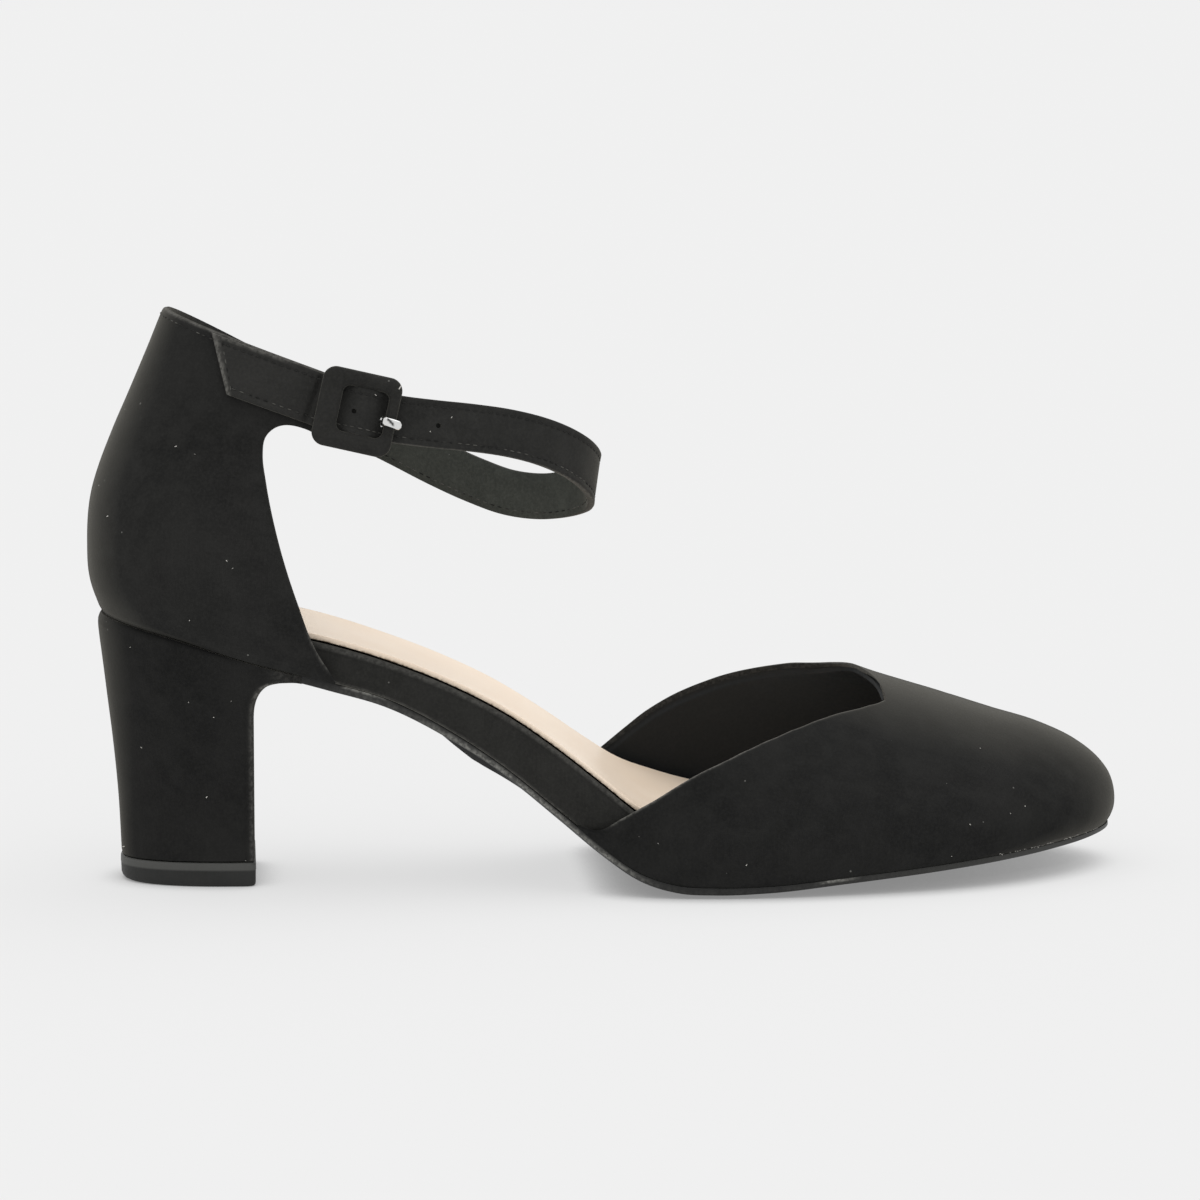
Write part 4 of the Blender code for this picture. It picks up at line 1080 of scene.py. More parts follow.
for name, start, end, low, high in (
    ("bar", -post_out, post_out, bar_low, bar_high),
    ("post_low", -post_out, -post_in, bar_low + 0.1 * MM, FRAME_LOW + 1 * MM),
    ("post_high", post_in, post_out, bar_low + 0.1 * MM, FRAME_LOW + 1 * MM),
):
    ring = [(-bar_half, low), (bar_half, low), (bar_half, high), (-bar_half, high)]
    rings = [[in_buckle(a, b, n) for a, n in ring] for b in (start, end)]
    bars.append(loft(name, rings, [buckle_suede]))
combine(buckle, bars, "UNION", 60)
settle(buckle, "buckle_suede", "buckle_frame")

# Prong: bright plated wire, bent round the centre bar, through the strap's hole and down over the
# front bar, where its flattened end shows.

PRONG_WIDTH = 1.95 * MM
PRONG_THICK = 1.0 * MM
PRONG_REACH = 9.2 * MM
PRONG_TURN = -0.10
PRONG_SIDES = 20
PRONG_STEPS = 86


def polished_metal(name, colour, roughness):
    """Bright plating with a fine drawn haze, painted nearly black where its marks fall below zero, for a
    dark reflection.
    """
    plating = Finish(name)
    preset(plating.shader, {"Metallic": 1.0})
    haze = plating.noise(900, 3, 0.6, (1.0, 6.0, 1.0))
    plating.feed("Roughness", plating.spread(haze, 0.3, 0.7, roughness - 0.05, roughness + 0.08))
    bright = plating.blend(haze, shade(colour, 0.92), colour)
    plating.feed("Base Color", plating.marks_and_painted_light(bright, colour))
    return plating


prong_top = FRAME_HIGH + GAP + PRONG_THICK / 2
prong_low = bar_high - PRONG_THICK / 2 - 0.1 * MM
PRONG = table(
    "at a n size",
    (0.0, CENTRE_BAR / 2 + GAP, prong_low, 0.55),
    (1.0, PRONG_HOLE - 1.0 * MM, prong_low, 1.0),
    (2.0, PRONG_HOLE - 0.2 * MM, prong_low + 0.6 * MM, 1.0),
    (3.0, PRONG_HOLE, prong_low + 1.6 * MM, 1.0),
    (4.0, PRONG_HOLE, prong_top - 1.2 * MM, 1.0),
    (5.0, PRONG_HOLE + 0.25 * MM, prong_top - 0.4 * MM, 1.0),
    (6.0, PRONG_HOLE + 1.1 * MM, prong_top, 1.0),
    (7.0, PRONG_REACH - 1.8 * MM, prong_top, 1.0),
    (8.0, PRONG_REACH - 0.4 * MM, prong_top - 0.25 * MM, 0.96),
    (8.6, PRONG_REACH, prong_top - 0.35 * MM, 0.62),
)
prong_a = curve(PRONG, "a")
prong_n = curve(PRONG, "n")
prong_size = curve(PRONG, "size")
rings = []
marks_and_painted_light = []
for i in range(PRONG_STEPS + 1):
    at = i / 10
    a = prong_a(at)
    n = prong_n(at)
    run = Vector([bend(at + 0.05) - bend(at - 0.05) for bend in (prong_a, prong_n)]).normalized()
    shown = ease((at - 5.4) / 0.3) * (1 - ease((at - 6.9) / 0.4))
    painted_reflection_at = 0.5 - 0.55 * (at - 5.7)  # painted dark reflection in a wedge where the prong leaves the hole
    aside = PRONG_SIDE + PRONG_TURN * max(0.0, a - PRONG_HOLE)
    ring = []
    for k in range(PRONG_SIDES):
        angle = 2 * math.pi * k / PRONG_SIDES
        across = PRONG_WIDTH / 2 * prong_size(at) * power(math.cos(angle), 0.8)
        height = PRONG_THICK / 2 * prong_size(at) * power(math.sin(angle), 0.8)
        ring.append(in_buckle(a - run.y * height, aside + across, n + run.x * height))
        marks_and_painted_light.append(-0.97 * bell(math.cos(angle) - painted_reflection_at, 0.30, 4) * shown)
    rings.append(ring)
prong_metal = polished_metal("prong_plating", (0.78, 0.78, 0.77), 0.13)
prong = loft("prong", rings, [prong_metal], 50, marks_and_painted_light)
settle(prong, "prong_steel", "buckle_prong")

# Outsole: a thin moulded rubber sole from the heel's lip to the toe, stuck under the lasted upper.
# Its edge is smooth and glossy, and a thin tread stands under it from the waist forwards.

OUTSOLE_BEVEL = 0.5 * MM
OUTSOLE_PROUD = 0.3 * MM
OUTSOLE_GAP = 0.06 * MM
LIP_GAP = 0.02 * MM
OUTSOLE_MORE = 0.26 * MM  # thickness over the tread's table
OUTSOLE_SLIM = 0.40 * MM  # how much thinner the edge is at the forefoot
OUTSOLE_NOSE = 11 * MM
TREAD_NOSE = 7.0 * MM
TREAD_FAINT = 0.15 * MM
WAIST_INSET = 2.9 * MM
WAIST_FRONT = -24.0 * MM
WAIST_RUN = 36.0 * MM
HEEL_BREAST_TOP = 46.95 * MM
TREAD = table(
    "along edge_mm depth_mm inset_mm",
    (0.000, 1.70, 0.15, 2.2),
    (0.332, 1.70, 0.15, 2.2),
    (0.347, 1.65, 1.10, 2.2),
    (0.362, 1.60, 1.70, 2.2),
    (0.375, 1.55, 1.60, 2.4),
    (0.410, 1.45, 0.85, 4.0),
    (1.000, 1.35, 0.85, 4.5),
)
OUTSOLE_STEPS = 170


def rubber(name, colour, patched, roughness, coat):
    """Moulded rubber: faint flow patches, fine matte grain and a skin with a soft shine."""
    skin = Finish(name)
    patches = skin.spread(skin.noise(120, 4), 0.35, 0.7, 0.0, 1.0)
    # The pale colour of the marks is painted highlight on the sole's edge, and pale glue.
    skin.feed("Base Color", skin.marks_and_painted_light(skin.blend(patches, colour, patched), (0.230, 0.227, 0.208)))
    grain = skin.noise(2200, 3, 0.6)
    skin.feed("Roughness", skin.spread(grain, 0.3, 0.7, roughness - 0.06, roughness + 0.08))
    skin.bump(grain, 0.12, 0.08 * MM)
    preset(skin.shader, {"Specular IOR Level": 0.25, "Coat Weight": coat, "Coat Roughness": 0.25})
    return skin


def tread_at(x, column):
    return float(np.interp(along(x), [row.along for row in TREAD], [getattr(row, column) for row in TREAD]))


start = BACK + HEEL_BREAST_TOP + LIP_GAP
end = TOE_POINT + OUTSOLE_PROUD
rings = []
marks_and_painted_light = []
for i in range(OUTSOLE_STEPS + 1):
    t = math.sin(math.pi / 2 * i / OUTSOLE_STEPS) * 0.5 + 0.5 * i / OUTSOLE_STEPS
    x = mix(start, end - TIP, t)
    middle, half = span(x, mix(WAIST_INSET, -OUTSOLE_PROUD, ease((x - WAIST_FRONT) / WAIST_RUN)))
    high = seat(x) - OUTSOLE_GAP
    nose = ease((end - x) / OUTSOLE_NOSE)
    thick = (tread_at(x, "edge") + OUTSOLE_MORE) * mix(0.62, 1.0, nose)
    slim = OUTSOLE_SLIM * ease((x - 15 * MM) / (35 * MM)) * nose
    edge = high - thick + slim
    depth = mix(TREAD_FAINT, tread_at(x, "depth"), ease((end - x) / TREAD_NOSE))
    low = max(0.0, edge - slim - depth)
    bevel = min(OUTSOLE_BEVEL, half * 0.2)
    tread = min(tread_at(x, "inset"), half * 0.5)
    side_points = [
        (half * 0.4, low),
        (half - 1.35 * tread, low),
        (half - 1.25 * tread, low + 0.10 * (edge - low)),
        (half - tread, edge - 0.1 * (edge - low)),
        (half - 0.93 * tread, edge),
        (half - 1.1 * bevel, edge),
        (half - 0.35 * bevel, edge + 0.25 * bevel),
        (half - 0.08 * bevel, edge + 0.6 * bevel),
        (half, edge + bevel),
        (half, mix(edge + bevel, high, 0.5)),
        (half, high - 0.25 * bevel),
        (half - 0.25 * bevel, high),
    ]
    rings.append(cross_ring(x, middle, side_points, side_points))
    # Painted highlight on the lower bevel of the edge, for the floor's reflection, along the waist and
    # fading out towards the toe; pale glue and a pale patch higher on the edge.
    pale = mix(0.06, 0.22, ease((x + 66 * MM) / (12 * MM))) + 0.60 * ease((x + 46 * MM) / (12 * MM))
    pale *= mix(1.0, 0.08, ease((x + 4 * MM) / (14 * MM)))
    glue = ease((x + 61 * MM) / (2 * MM)) * (1 - ease((x + 54 * MM) / (5 * MM)))
    patch = ease((x - 42 * MM) / (3 * MM)) * (1 - ease((x - 48 * MM) / (5 * MM)))
    rim = [0.0] * 6 + [0.4 * pale, 0.9 * pale, pale]
    rim += [max(0.6 * pale, 0.9 * patch), max(glue, patch), 0.8 * glue]
    marks_and_painted_light += rim + rim[::-1]
sole_rubber = rubber("sole_rubber_skin", (0.0060, 0.0061, 0.0057), (0.0095, 0.0095, 0.0088), 0.50, 0.12)
forefoot = sole_rubber.spread(sole_rubber.axis("X"), 35 * MM, 90 * MM, 0.0, 0.70)
sole_rubber.feed("Base Color", sole_rubber.blend(forefoot, sole_rubber.colour(), (0.030, 0.030, 0.0275)))
outsole = loft("outsole_sheet", rings, [sole_rubber], 30, marks_and_painted_light)
settle(outsole, "sole_rubber", "outsole")

# Heel: a hard block covered with the upper's cloth, with a flat curved breast and a lip that goes
# under the waist. The cover is turned at the breast, which leaves a fine fold along its edges.

HEEL = table(
    "rise back_mm half",
    (0.000, 6.80, 0.311),
    (0.250, 6.20, 0.327),
    (0.500, 5.00, 0.362),
    (0.650, 4.05, 0.398),
    (0.770, 3.30, 0.433),
    (0.845, 2.80, 0.453),
    (0.905, 2.40, 0.470),
    (0.948, 2.20, 0.482),
    (0.962, 2.20, 0.486),
    (1.000, 2.50, 0.490),
)
HEEL_ROUNDNESS_LOW = 2.5
BREAST_CORNER = 1.6 * MM
BREAST_FOLD = 1.95 * MM  # from the breast to the cover's fine fold
FOLD_DEPTH = 0.20 * MM
FOOT_TUCK = 0.12 * MM  # how far the back draws in at the foot and at the seat
SEAT_TUCK = 0.45 * MM
TOP_PIECE = 5.4 * MM
heel_back = curve(HEEL, "back")
heel_half = curve(HEEL, "half")
BREAST = 36.45 * MM
BREAST_CURVE = 0.72  # share of the height where the breast starts to curve forwards
LIP = 0.958
LIP_TAPER = 42.8 * MM  # from here the lip draws in to the width of the sole


def heel_breast(rise):
    """Breast line of the heel: straight, then a round curve out to the end of the lip."""
    turn = min(max((rise - BREAST_CURVE) / (LIP - BREAST_CURVE), 0.0), 1.0)
    return mix(BREAST, HEEL_BREAST_TOP, 1 - (1 - turn**2.4) ** 0.40)


CORNER_STEPS = (0.0, 0.10, 0.30, 0.60, 1.0, 1.35, 1.65, 1.85, 2.05, 2.25, 2.55, 3.0)  # mm from the breast
HEEL_AROUND = 44


def heel_outline(rise, grow=0.0, fold=0.0, tuck=0.0):
    """Places and widths from the breast to the back at a share of the heel's height.

    tuck draws the back in.
    """
    back_x = BACK + heel_back(rise) - grow
    breast_x = BACK + heel_breast(rise) + grow
    half = heel_half(rise) * HEEL_SEAT_WIDTH + grow
    length = breast_x - back_x
    shares = [step * MM / length for step in CORNER_STEPS]
    turns = [math.pi / 2 * (i + 1) / HEEL_AROUND for i in range(HEEL_AROUND)]
    shares += [mix(shares[-1], 1.0, math.sin(turn)) for turn in turns]
    outline = []
    for t in shares:
        low = half * max(0.0, 1 - t**HEEL_ROUNDNESS_LOW) ** (1 / HEEL_ROUNDNESS_LOW)
        inward = t * length
        corner = 0.0
        if inward < BREAST_CORNER:
            corner = BREAST_CORNER - math.sqrt(BREAST_CORNER**2 - (BREAST_CORNER - inward) ** 2)
            corner *= 1 - ease((rise - 0.90) / 0.04)
        corner += fold * bell(inward - BREAST_FOLD, 0.22 * MM)
        seat_x = mix(breast_x, HEEL_POINT, t)
        outer = mix(low, -feather(seat_x, -1), rise**3)
        inner = mix(low, feather(seat_x, 1), rise**3)
        x = mix(breast_x, back_x + tuck, t)
        corner += WAIST_INSET * ease((x - BACK - LIP_TAPER) / (HEEL_BREAST_TOP - LIP_TAPER))
        outline.append((x, max(outer - corner, 0.0), max(inner - corner, 0.0)))
    return outline


def heel_ring(outline, level):
    """Closed ring of an outline, at the height that level gives for each place."""
    near = [Vector((x, -outer, level(x))) for x, outer, inner in outline]
    return near + [Vector((x, inner, level(x))) for x, outer, inner in reversed(outline)]


def stack(name, rings, finishes, sharp=38.0, marks_and_painted_light=()):
    """Solid through stacked outlines that run from one side round the back to the other."""
    count = len(rings[0])
    faces = tube_faces(len(rings), count)
    for start in (0, (len(rings) - 1) * count):
        for j in range(count // 2 - 1):
            k = count - 1 - j
            faces.append((start + j, start + j + 1, start + k - 1, start + k))
    return finish_mesh(piece(name, [p for ring in rings for p in ring], faces, finishes, marks_and_painted_light), sharp)


rises = [0.0, 0.006, 0.015] + [mix(0.015, BREAST_CURVE, (i + 1) / 28) for i in range(28)]
rises += [mix(BREAST_CURVE, LIP, 1 - (1 - (i + 1) / 32) ** 2.4) for i in range(32)] + [0.97, 0.985, 1.0]
rings = []
marks_and_painted_light = []
for rise in rises:
    tuck = FOOT_TUCK * (1 - min(1.0, rise / 0.015)) + SEAT_TUCK * max(0.0, (rise - 0.965) / 0.035) ** 2
    outline = heel_outline(rise, 0.0, FOLD_DEPTH * (1 - ease((rise - 0.85) / 0.1)), tuck)
    # Painted highlight along the rounded breast corner, a paler end of the lip, and painted shade along the
    # top edge where the heel meets the quarter.
    edge = mix(0.50, 0.95, ease((rise - 0.80) / 0.08)) * (1 - ease((rise - 0.925) / 0.02))
    painted_darkness = ease((rise - 0.978) / 0.022)
    lip = 0.22 * ease((rise - 0.88) / 0.04)
    rim = []
    for x, outer, inner in outline:
        from_back = x - BACK
        drawn = ease((from_back - 4 * MM) / (8 * MM)) * (1 - ease((from_back - 26 * MM) / (12 * MM)))
        pale = edge * bell(outline[0][0] - x - 0.60 * MM, 0.45 * MM)
        rim.append(max(pale, lip * ease((from_back - 38 * MM) / (5 * MM))) - painted_darkness * drawn)
    marks_and_painted_light += rim + rim[::-1]
    rings.append(heel_ring(outline, lambda x: mix(TOP_PIECE + GAP, seat(x) - GAP, rise)))
heel_suede = microsuede("heel_microsuede", (0.0078, 0.0079, 0.0077), (0.0148, 0.0147, 0.0140), 0.42)
heel = stack("covered_heel", rings, [heel_suede], marks_and_painted_light=marks_and_painted_light)
settle(heel, "heel_suede", "heel_block")

# Top piece: the wearing piece of hard rubber, pinned under the heel. Its upper half flares out to
# a line, and its lower half goes straight down to a rounded foot.

TOP_PIECE_SIDE = table(
    "grow_mm z_mm tuck_mm",
    (-0.55, 0.0, 1.50),
    (-0.15, 0.12, 1.05),
    (0.08, 0.45, 0.58),
    (0.14, 0.90, 0.26),
    (0.16, 1.50, 0.06),
    (0.18, 3.40, 0.0),
    (0.19, 3.60, 0.0),
    (0.25, 3.90, 0.0),
    (0.22, 4.95, 0.0),
    (0.10, 5.25, 0.0),
    (-0.25, 5.40, 0.0),
)
LIFT_LINE = 3.6 * MM
rings = []
for lift in TOP_PIECE_SIDE:
    outline = heel_outline(0.0, lift.grow, 0.0, lift.tuck)
    rings.append(heel_ring(outline, lambda x: lift.z))
lift_rubber = rubber("lift_rubber", (0.0148, 0.0151, 0.0142), (0.0190, 0.0193, 0.0181), 0.60, 0.06)
upper = lift_rubber.spread(lift_rubber.axis("Z"), LIFT_LINE - 0.15 * MM, LIFT_LINE + 0.3 * MM, 0.0, 1.0)
lift_rubber.feed("Base Color", lift_rubber.blend(upper, lift_rubber.colour(), (0.066, 0.0665, 0.0625)))
top_piece = stack("heel_lift", rings, [lift_rubber], 22)
settle(top_piece, "top_rubber", "heel_top_piece")

# Stitches: one row of black thread along the collar, along both edges of the tab and round its
# slanted end, and along both edges of the ankle strap.

STITCH_PITCH = 1.75 * MM
STITCH_LENGTH = 1.15 * MM
THREAD = 0.28 * MM
THREAD_SUNK = 0.10 * MM


def new_tree(name, **inputs):
    """Geometry Nodes tree with named inputs, and its input and output nodes."""
    tree = bpy.data.node_groups.new(name, "GeometryNodeTree")
    for label, kind in {"Geometry": "Geometry", **inputs}.items():
        tree.interface.new_socket(label, in_out="INPUT", socket_type=f"NodeSocket{kind}")
    tree.interface.new_socket("Geometry", in_out="OUTPUT", socket_type="NodeSocketGeometry")
    return tree, tree.nodes.new("NodeGroupInput"), tree.nodes.new("NodeGroupOutput")


def wire(tree, *pairs):
    """Link nodes: each pair is a node and its output, and a node and its input."""
    for source, output, target, socket in pairs:
        tree.links.new(source.outputs[output], target.inputs[socket])


def lay_shapes(tree, given, result, shape, points, sizes, finish, smooth=False):
    """Scale a shape by the named sizes, lay it on points as real mesh and give it its finish."""
    add = tree.nodes.new
    lengths = add("ShaderNodeCombineXYZ")
    shaped = add("GeometryNodeTransform")
    laid = add("GeometryNodeInstanceOnPoints")
    real = add("GeometryNodeRealizeInstances")
    coloured = add("GeometryNodeSetMaterial")
    wire(tree, *((given, size, lengths, axis) for size, axis in zip(sizes, "XYZ")))
    wire(
        tree,
        (shape, "Mesh", shaped, "Geometry"),
        (lengths, "Vector", shaped, "Scale"),
        (points, "Points", laid, "Points"),
        (shaped, "Geometry", laid, "Instance"),
        (laid, "Instances", real, "Geometry"),
        (given, finish, coloured, "Material"),
        (coloured, "Geometry", result, "Geometry"),
    )
    if smooth:
        rounding = add("GeometryNodeSetShadeSmooth")
        wire(tree, (real, "Geometry", rounding, "Geometry"))
        real = rounding
    wire(tree, (real, "Geometry", coloured, "Geometry"))
    return laid


def grow_nodes(made, tree, values):
    """Run a tree on a piece with the given inputs, and keep the result as its plain mesh."""
    run = made.modifiers.new(tree.name, "NODES")
    run.node_group = tree
    for item in tree.interface.items_tree:
        if item.in_out == "INPUT" and item.name in values:
            run[item.identifier] = values[item.name]
    return bake(made)


stitch_tree, given, result = new_tree(
    "stitch_rows", Pitch="Float", Length="Float", Width="Float", Thread="Material"
)
to_curve = stitch_tree.nodes.new("GeometryNodeMeshToCurve")
to_points = stitch_tree.nodes.new("GeometryNodeCurveToPoints")
to_points.mode = "LENGTH"
bead = stitch_tree.nodes.new("GeometryNodeMeshUVSphere")
preset(bead, {"Segments": 8, "Rings": 6, "Radius": 0.5})
turned = stitch_tree.nodes.new("FunctionNodeAlignRotationToVector")
turned.axis = "X"
laid = lay_shapes(stitch_tree, given, result, bead, to_points, ("Length", "Width", "Width"), "Thread", True)
wire(
    stitch_tree,
    (given, "Geometry", to_curve, "Mesh"),
    (to_curve, "Curve", to_points, "Curve"),
    (given, "Pitch", to_points, "Length"),
    (to_points, "Tangent", turned, "Vector"),
    (turned, "Rotation", laid, "Rotation"),
)


def sewing_thread(name, colour, dusty):
    """Twisted thread with the twist as fine slanting bands, pale in places where dust has settled."""
    thread = Finish(name)
    twist = thread.noise(2600, 2, 0.5, (1.0, 1.0, 2.5))
    dark = thread.blend(twist, shade(colour, 0.7), shade(colour, 1.3))
    settled = thread.spread(thread.noise(210, 2), 0.46, 0.58, 0.0, 1.0)
    thread.feed("Base Color", thread.blend(settled, dark, dusty))
    thread.feed("Roughness", thread.spread(twist, 0.3, 0.7, 0.75, 0.95))
    preset(thread.shader, {"Specular IOR Level": 0.15})
    return thread


def stitch(name, paths, slot, thread):
    """Rows of stitches along paths of places."""
    points = []
    edges = []
    for path in paths:
        edges += [(len(points) + i, len(points) + i + 1) for i in range(len(path) - 1)]
        points += path
    sizes = {"Pitch": STITCH_PITCH, "Length": STITCH_LENGTH, "Width": THREAD, "Thread": thread.material}
    return settle(grow_nodes(piece(name, points, [], edges=edges), stitch_tree, sizes), slot)


black_thread = sewing_thread("black_thread", (0.0210, 0.0210, 0.0200), (0.0250, 0.0247, 0.0235))
dusty_thread = sewing_thread("dusty_thread", (0.0140, 0.0140, 0.0132), (0.080, 0.078, 0.071))
collar_path = []
for side in (-1, 1):
    place = quarter_line(0.974, side)
    line = [quarter_face(*place(0.985 * (i / 70) ** 1.7), side, 0.02 * MM) for i in range(1, 71)]
    collar_path += line[::-1] if side < 0 else line
stitch("collar_stitches", [collar_path], "quarter_suede", dusty_thread)


def sewn_paths(height, fall, width, side, front, thick):
    """Stitch rows along both edges of a sewn strap and round its slanted end."""
    b = width / 2 - STITCH_INSET
    proud = thick - THREAD_SUNK
    start = BACK + TAB_BACK
    paths = []
    for sign in (-1, 1):
        path = []
        for i in range(41):
            x = mix(start + 2.6 * MM, front, i / 40)
            slant = max(0.0, 1 - 2 * (x - start) / (front - start))
            path.append(sewn_place(x, sign * b, height, fall, side, slant, proud))
        paths.append(path)
    end = [mix(-b, b, i / 12) for i in range(13)]
    proud = thick + 0.04 * MM
    return paths + [[sewn_place(start + 1.7 * MM, place, height, fall, side, 0.88, proud) for place in end]]


tab_paths = sewn_paths(TAB_BACK_HEIGHT, TAB_FALL, TAB_WIDTH, -1, BACK + TAB_FRONT - 1.5 * MM, TAB_THICK)
stitch("tab_stitches", tab_paths[1:2], "tab_suede", black_thread)
stitch("tab_end_stitches", tab_paths[::2], "tab_suede", dusty_thread)
strap_paths = sewn_paths(INNER_BACK_HEIGHT, INNER_FALL, STRAP_WIDTH, 1, BACK + EAR_END, STRAP_THICK)
edge = STRAP_WIDTH / 2 - STITCH_INSET


def free_path(start, across, proud):
    """Places along the free strap, across from its middle and proud of it."""
    path = []
    for i in range(161):
        s = mix(start, travel[-1], i / 160)
        middle, forward, up, out = strap_frame(s)
        path.append(middle + up * across + out * (proud + over_bar(s)))
    return path


strap_paths += [free_path(1.5 * MM, sign * edge, STRAP_THICK / 2 - THREAD_SUNK) for sign in (-1, 1)]
inside_path = free_path(0.25 * travel[-1], -edge, -STRAP_THICK / 2)
stitch("strap_stitches", strap_paths[:3] + strap_paths[4:], "strap_suede", black_thread)
stitch("strap_low_stitches", [strap_paths[3], inside_path], "strap_suede", dusty_thread)

# Lint: a few short pale fibres caught on the outer side of the cloth, each turned at random, and
# crumbs of dried cement along the sole's joint at the toe. They lie loose on the nap.

FIBRE_SEED = 7
fibre_tree, given, result = new_tree("fibres", Length="Float", Width="Float", Seed="Int", Fibre="Material")
to_points = fibre_tree.nodes.new("GeometryNodeMeshToPoints")
strand = fibre_tree.nodes.new("GeometryNodeMeshCone")
preset(strand, {"Vertices": 5, "Side Segments": 2, "Radius Top": 0.25, "Radius Bottom": 0.5, "Depth": 1.0})
turn = fibre_tree.nodes.new("FunctionNodeRandomValue")
turn.data_type = "FLOAT_VECTOR"
preset(turn, {"Max": (2 * math.pi, 2 * math.pi, 2 * math.pi)})
grow = preset(fibre_tree.nodes.new("FunctionNodeRandomValue"), {2: 0.45, 3: 1.0})
laid = lay_shapes(fibre_tree, given, result, strand, to_points, ("Width", "Width", "Length"), "Fibre")
wire(
    fibre_tree,
    (given, "Geometry", to_points, "Mesh"),
    (given, "Seed", turn, "Seed"),
    (given, "Seed", grow, "Seed"),
    (turn, "Value", laid, "Rotation"),
    (grow, 1, laid, "Scale"),
)


def lint_fibre(name, colour):
    """Matt fibre, a little darker in places."""
    fibre = Finish(name)
    patches = fibre.noise(700, 2)
    fibre.feed("Base Color", fibre.blend(patches, shade(colour, 0.75), colour))
    fibre.feed("Roughness", fibre.spread(patches, 0.3, 0.7, 0.8, 0.95))
    return fibre


def fibres(name, places, slot, length, width):
    """One short fibre, turned at random, at each place."""
    values = {"Length": length, "Width": width, "Seed": FIBRE_SEED, "Fibre": pale_lint.material}
    return settle(grow_nodes(piece(name, places, []), fibre_tree, values), slot)


pale_lint = lint_fibre("pale_lint", (0.62, 0.60, 0.56))
QUARTER_LINT = (  # mm, as all the lint
    (-93.6, -27.7, 61.0), (-85.5, -29.6, 74.4), (-84.0, -29.7, 72.7), (-113.2, -10.5, 89.0),
    (-111.1, -18.0, 83.0), (-107.4, -7.1, 105.4), (-92.0, -25.3, 97.1), (-95.9, -23.7, 98.7),
)
HEEL_LINT = (
    (-90.4, -16.7, 20.2), (-104.7, -13.8, 31.3), (-106.5, -18.1, 54.1), (-84.7, -23.9, 42.8),
    (-88.5, -22.2, 39.0), (-94.1, -22.1, 42.4), (-81.9, -15.8, 5.9), (-108.7, -5.7, 7.7),
)
VAMP_LINT = (
    (26.7, -39.9, 7.6), (77.0, -31.7, 14.7), (73.0, -33.0, 7.8), (7.6, -38.4, 12.6),
    (90.6, -24.5, 17.3), (86.8, -27.0, 16.2), (81.6, -16.9, 29.2),
)
BUCKLE_LINT = ((-47.9, -29.3, 111.2), (-53.3, -28.8, 110.3))
STRAP_LINT = ((-36.5, -26.2, 104.6), (-41.2, -27.2, 101.9))
for name, spots, slot, length, width in (
    ("quarter_lint", QUARTER_LINT, "quarter_suede", 0.62 * MM, 0.28 * MM),
    ("heel_lint", HEEL_LINT, "heel_suede", 0.60 * MM, 0.28 * MM),
    ("vamp_lint", VAMP_LINT, "vamp_suede", 0.58 * MM, 0.26 * MM),
    ("buckle_lint", BUCKLE_LINT, "buckle_suede", 1.10 * MM, 0.40 * MM),
    ("strap_lint", STRAP_LINT, "strap_suede", 0.50 * MM, 0.24 * MM),
):
    fibres(name, [Vector(spot) * MM for spot in spots], slot, length, width)

CEMENT_CRUMBS = 64
CEMENT_RUN = (84 * MM, 111 * MM)
crumbs = []
for i in range(CEMENT_CRUMBS):
    x = mix(*CEMENT_RUN, i / (CEMENT_CRUMBS - 1))
    if noise.noise((i * 0.31, 3.1, 0.0)) > -0.08:
        crumbs.append(Vector((x, feather(x, -1, -0.12 * MM), seat(x) + 0.14 * MM)))
fibres("cement_crumbs", crumbs, "vamp_suede", 0.50 * MM, 0.20 * MM)

# Stage: a pale floor that also gives off a soft fill light, turned down close to the sole as painted shade,
# an even white surround with a wide soft light overhead, and the camera a little above the floor on the
# shoe's outer side.

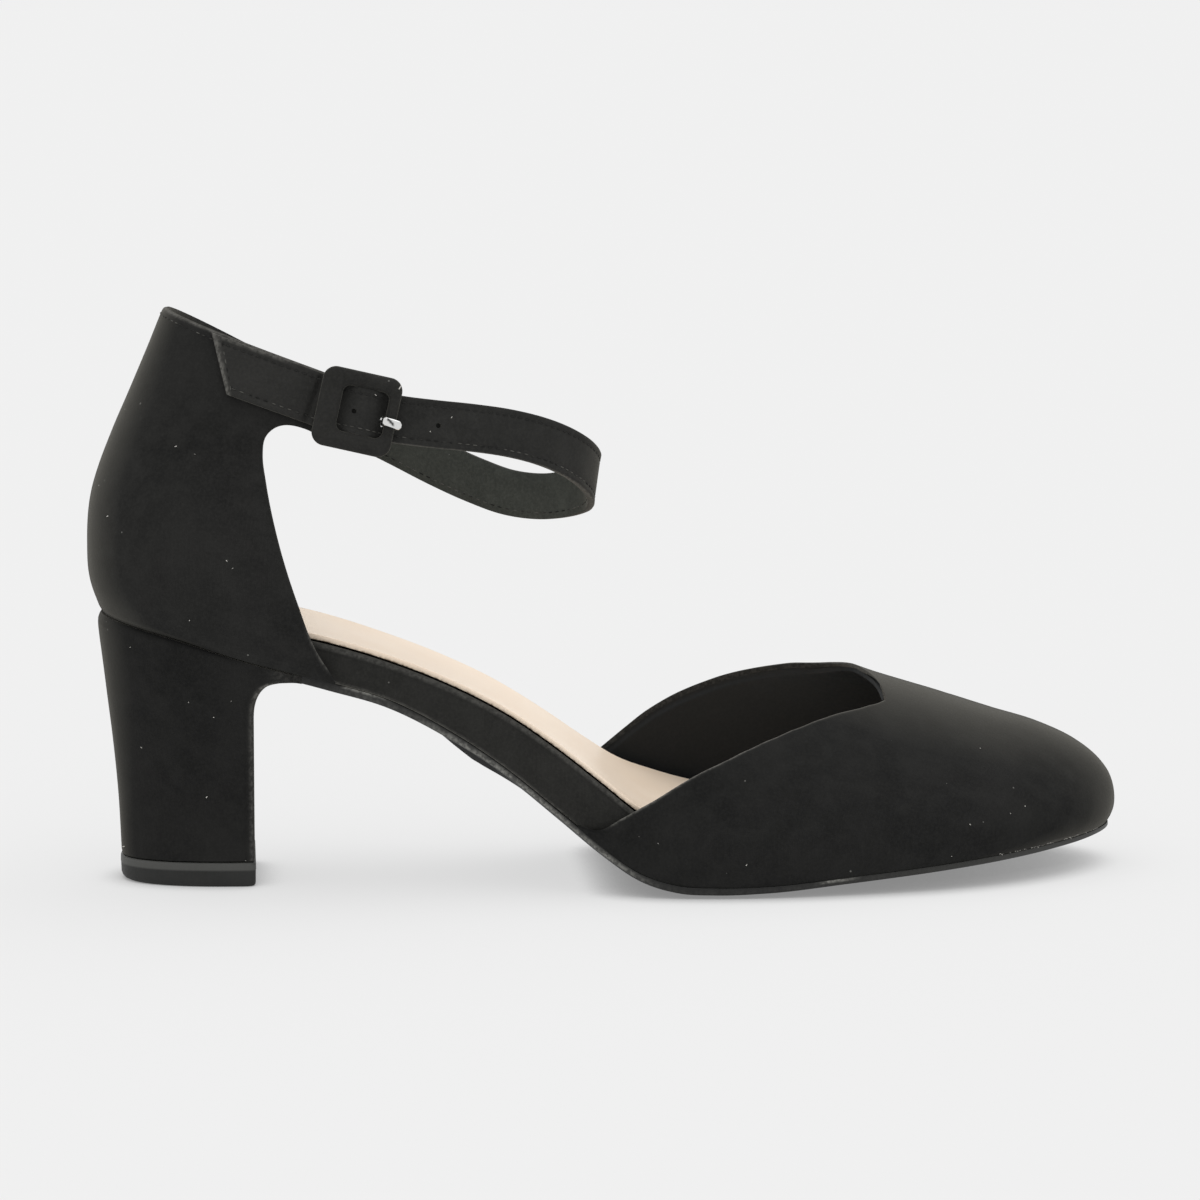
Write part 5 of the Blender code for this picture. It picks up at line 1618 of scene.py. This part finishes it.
FLOOR_REACH = 450.0
FLOOR_CORNERS = [(a * FLOOR_REACH, b * FLOOR_REACH, 0.0) for a, b in ((-2, -1), (2, -1), (0, 3))]
pale_floor = Finish("pale_floor")
preset(pale_floor.shader, {"Base Color": (0.205, 0.205, 0.205, 1.0), "Emission Color": (1.0, 1.0, 1.0, 1.0)})
preset(pale_floor.shader, {"Roughness": 0.9, "Specular IOR Level": 0.0})
close_by = pale_floor.nodes.new("ShaderNodeAmbientOcclusion")  # the fill light is shut out close to the sole
close_by.samples = 6
preset(close_by, {"Distance": 9.5 * MM})
# Painted shade: the floor's own light is turned down close to the sole.
pale_floor.feed("Emission Strength", pale_floor.spread(close_by.outputs["AO"], 0.25, 0.85, 0.24, 0.632))
floor = piece("floor", FLOOR_CORNERS, [(0, 1, 2)], [pale_floor])

world = bpy.data.worlds.new("studio")
world.use_nodes = True
preset(world.node_tree.nodes["Background"], {"Color": (1.0, 1.0, 1.0, 1.0), "Strength": 0.871})
bpy.context.scene.world = world

sky = bpy.data.lights.new("wide_overhead", "SUN")
sky.angle = math.radians(75)
sky.energy = 1.0
overhead = add_object("wide_overhead", sky)
overhead.rotation_euler = (math.radians(-14), math.radians(8), 0.0)

CAMERA_AZIMUTH = math.radians(-4.5)
CAMERA_ELEVATION = math.radians(7.2)
CAMERA_DISTANCE = 1.050
CAMERA_AIM = Vector((-2.06 * MM, 0.0, 61.18 * MM))
SENSOR = 36.0
FOCAL_PIXELS = 4683.0
IMAGE_PIXELS = 1200.0
lens = bpy.data.cameras.new("camera")
lens.sensor_width = SENSOR
lens.lens = FOCAL_PIXELS / IMAGE_PIXELS * SENSOR
camera = add_object("camera", lens)
level = math.cos(CAMERA_ELEVATION)
away = Vector((math.sin(CAMERA_AZIMUTH) * level, -math.cos(CAMERA_AZIMUTH) * level, 0.0))
away.z = math.sin(CAMERA_ELEVATION)
camera.location = CAMERA_AIM + away * CAMERA_DISTANCE
camera.rotation_euler = away.to_track_quat("Z", "Y").to_euler()
bpy.context.scene.camera = camera
bpy.context.scene.view_settings.view_transform = "Standard"
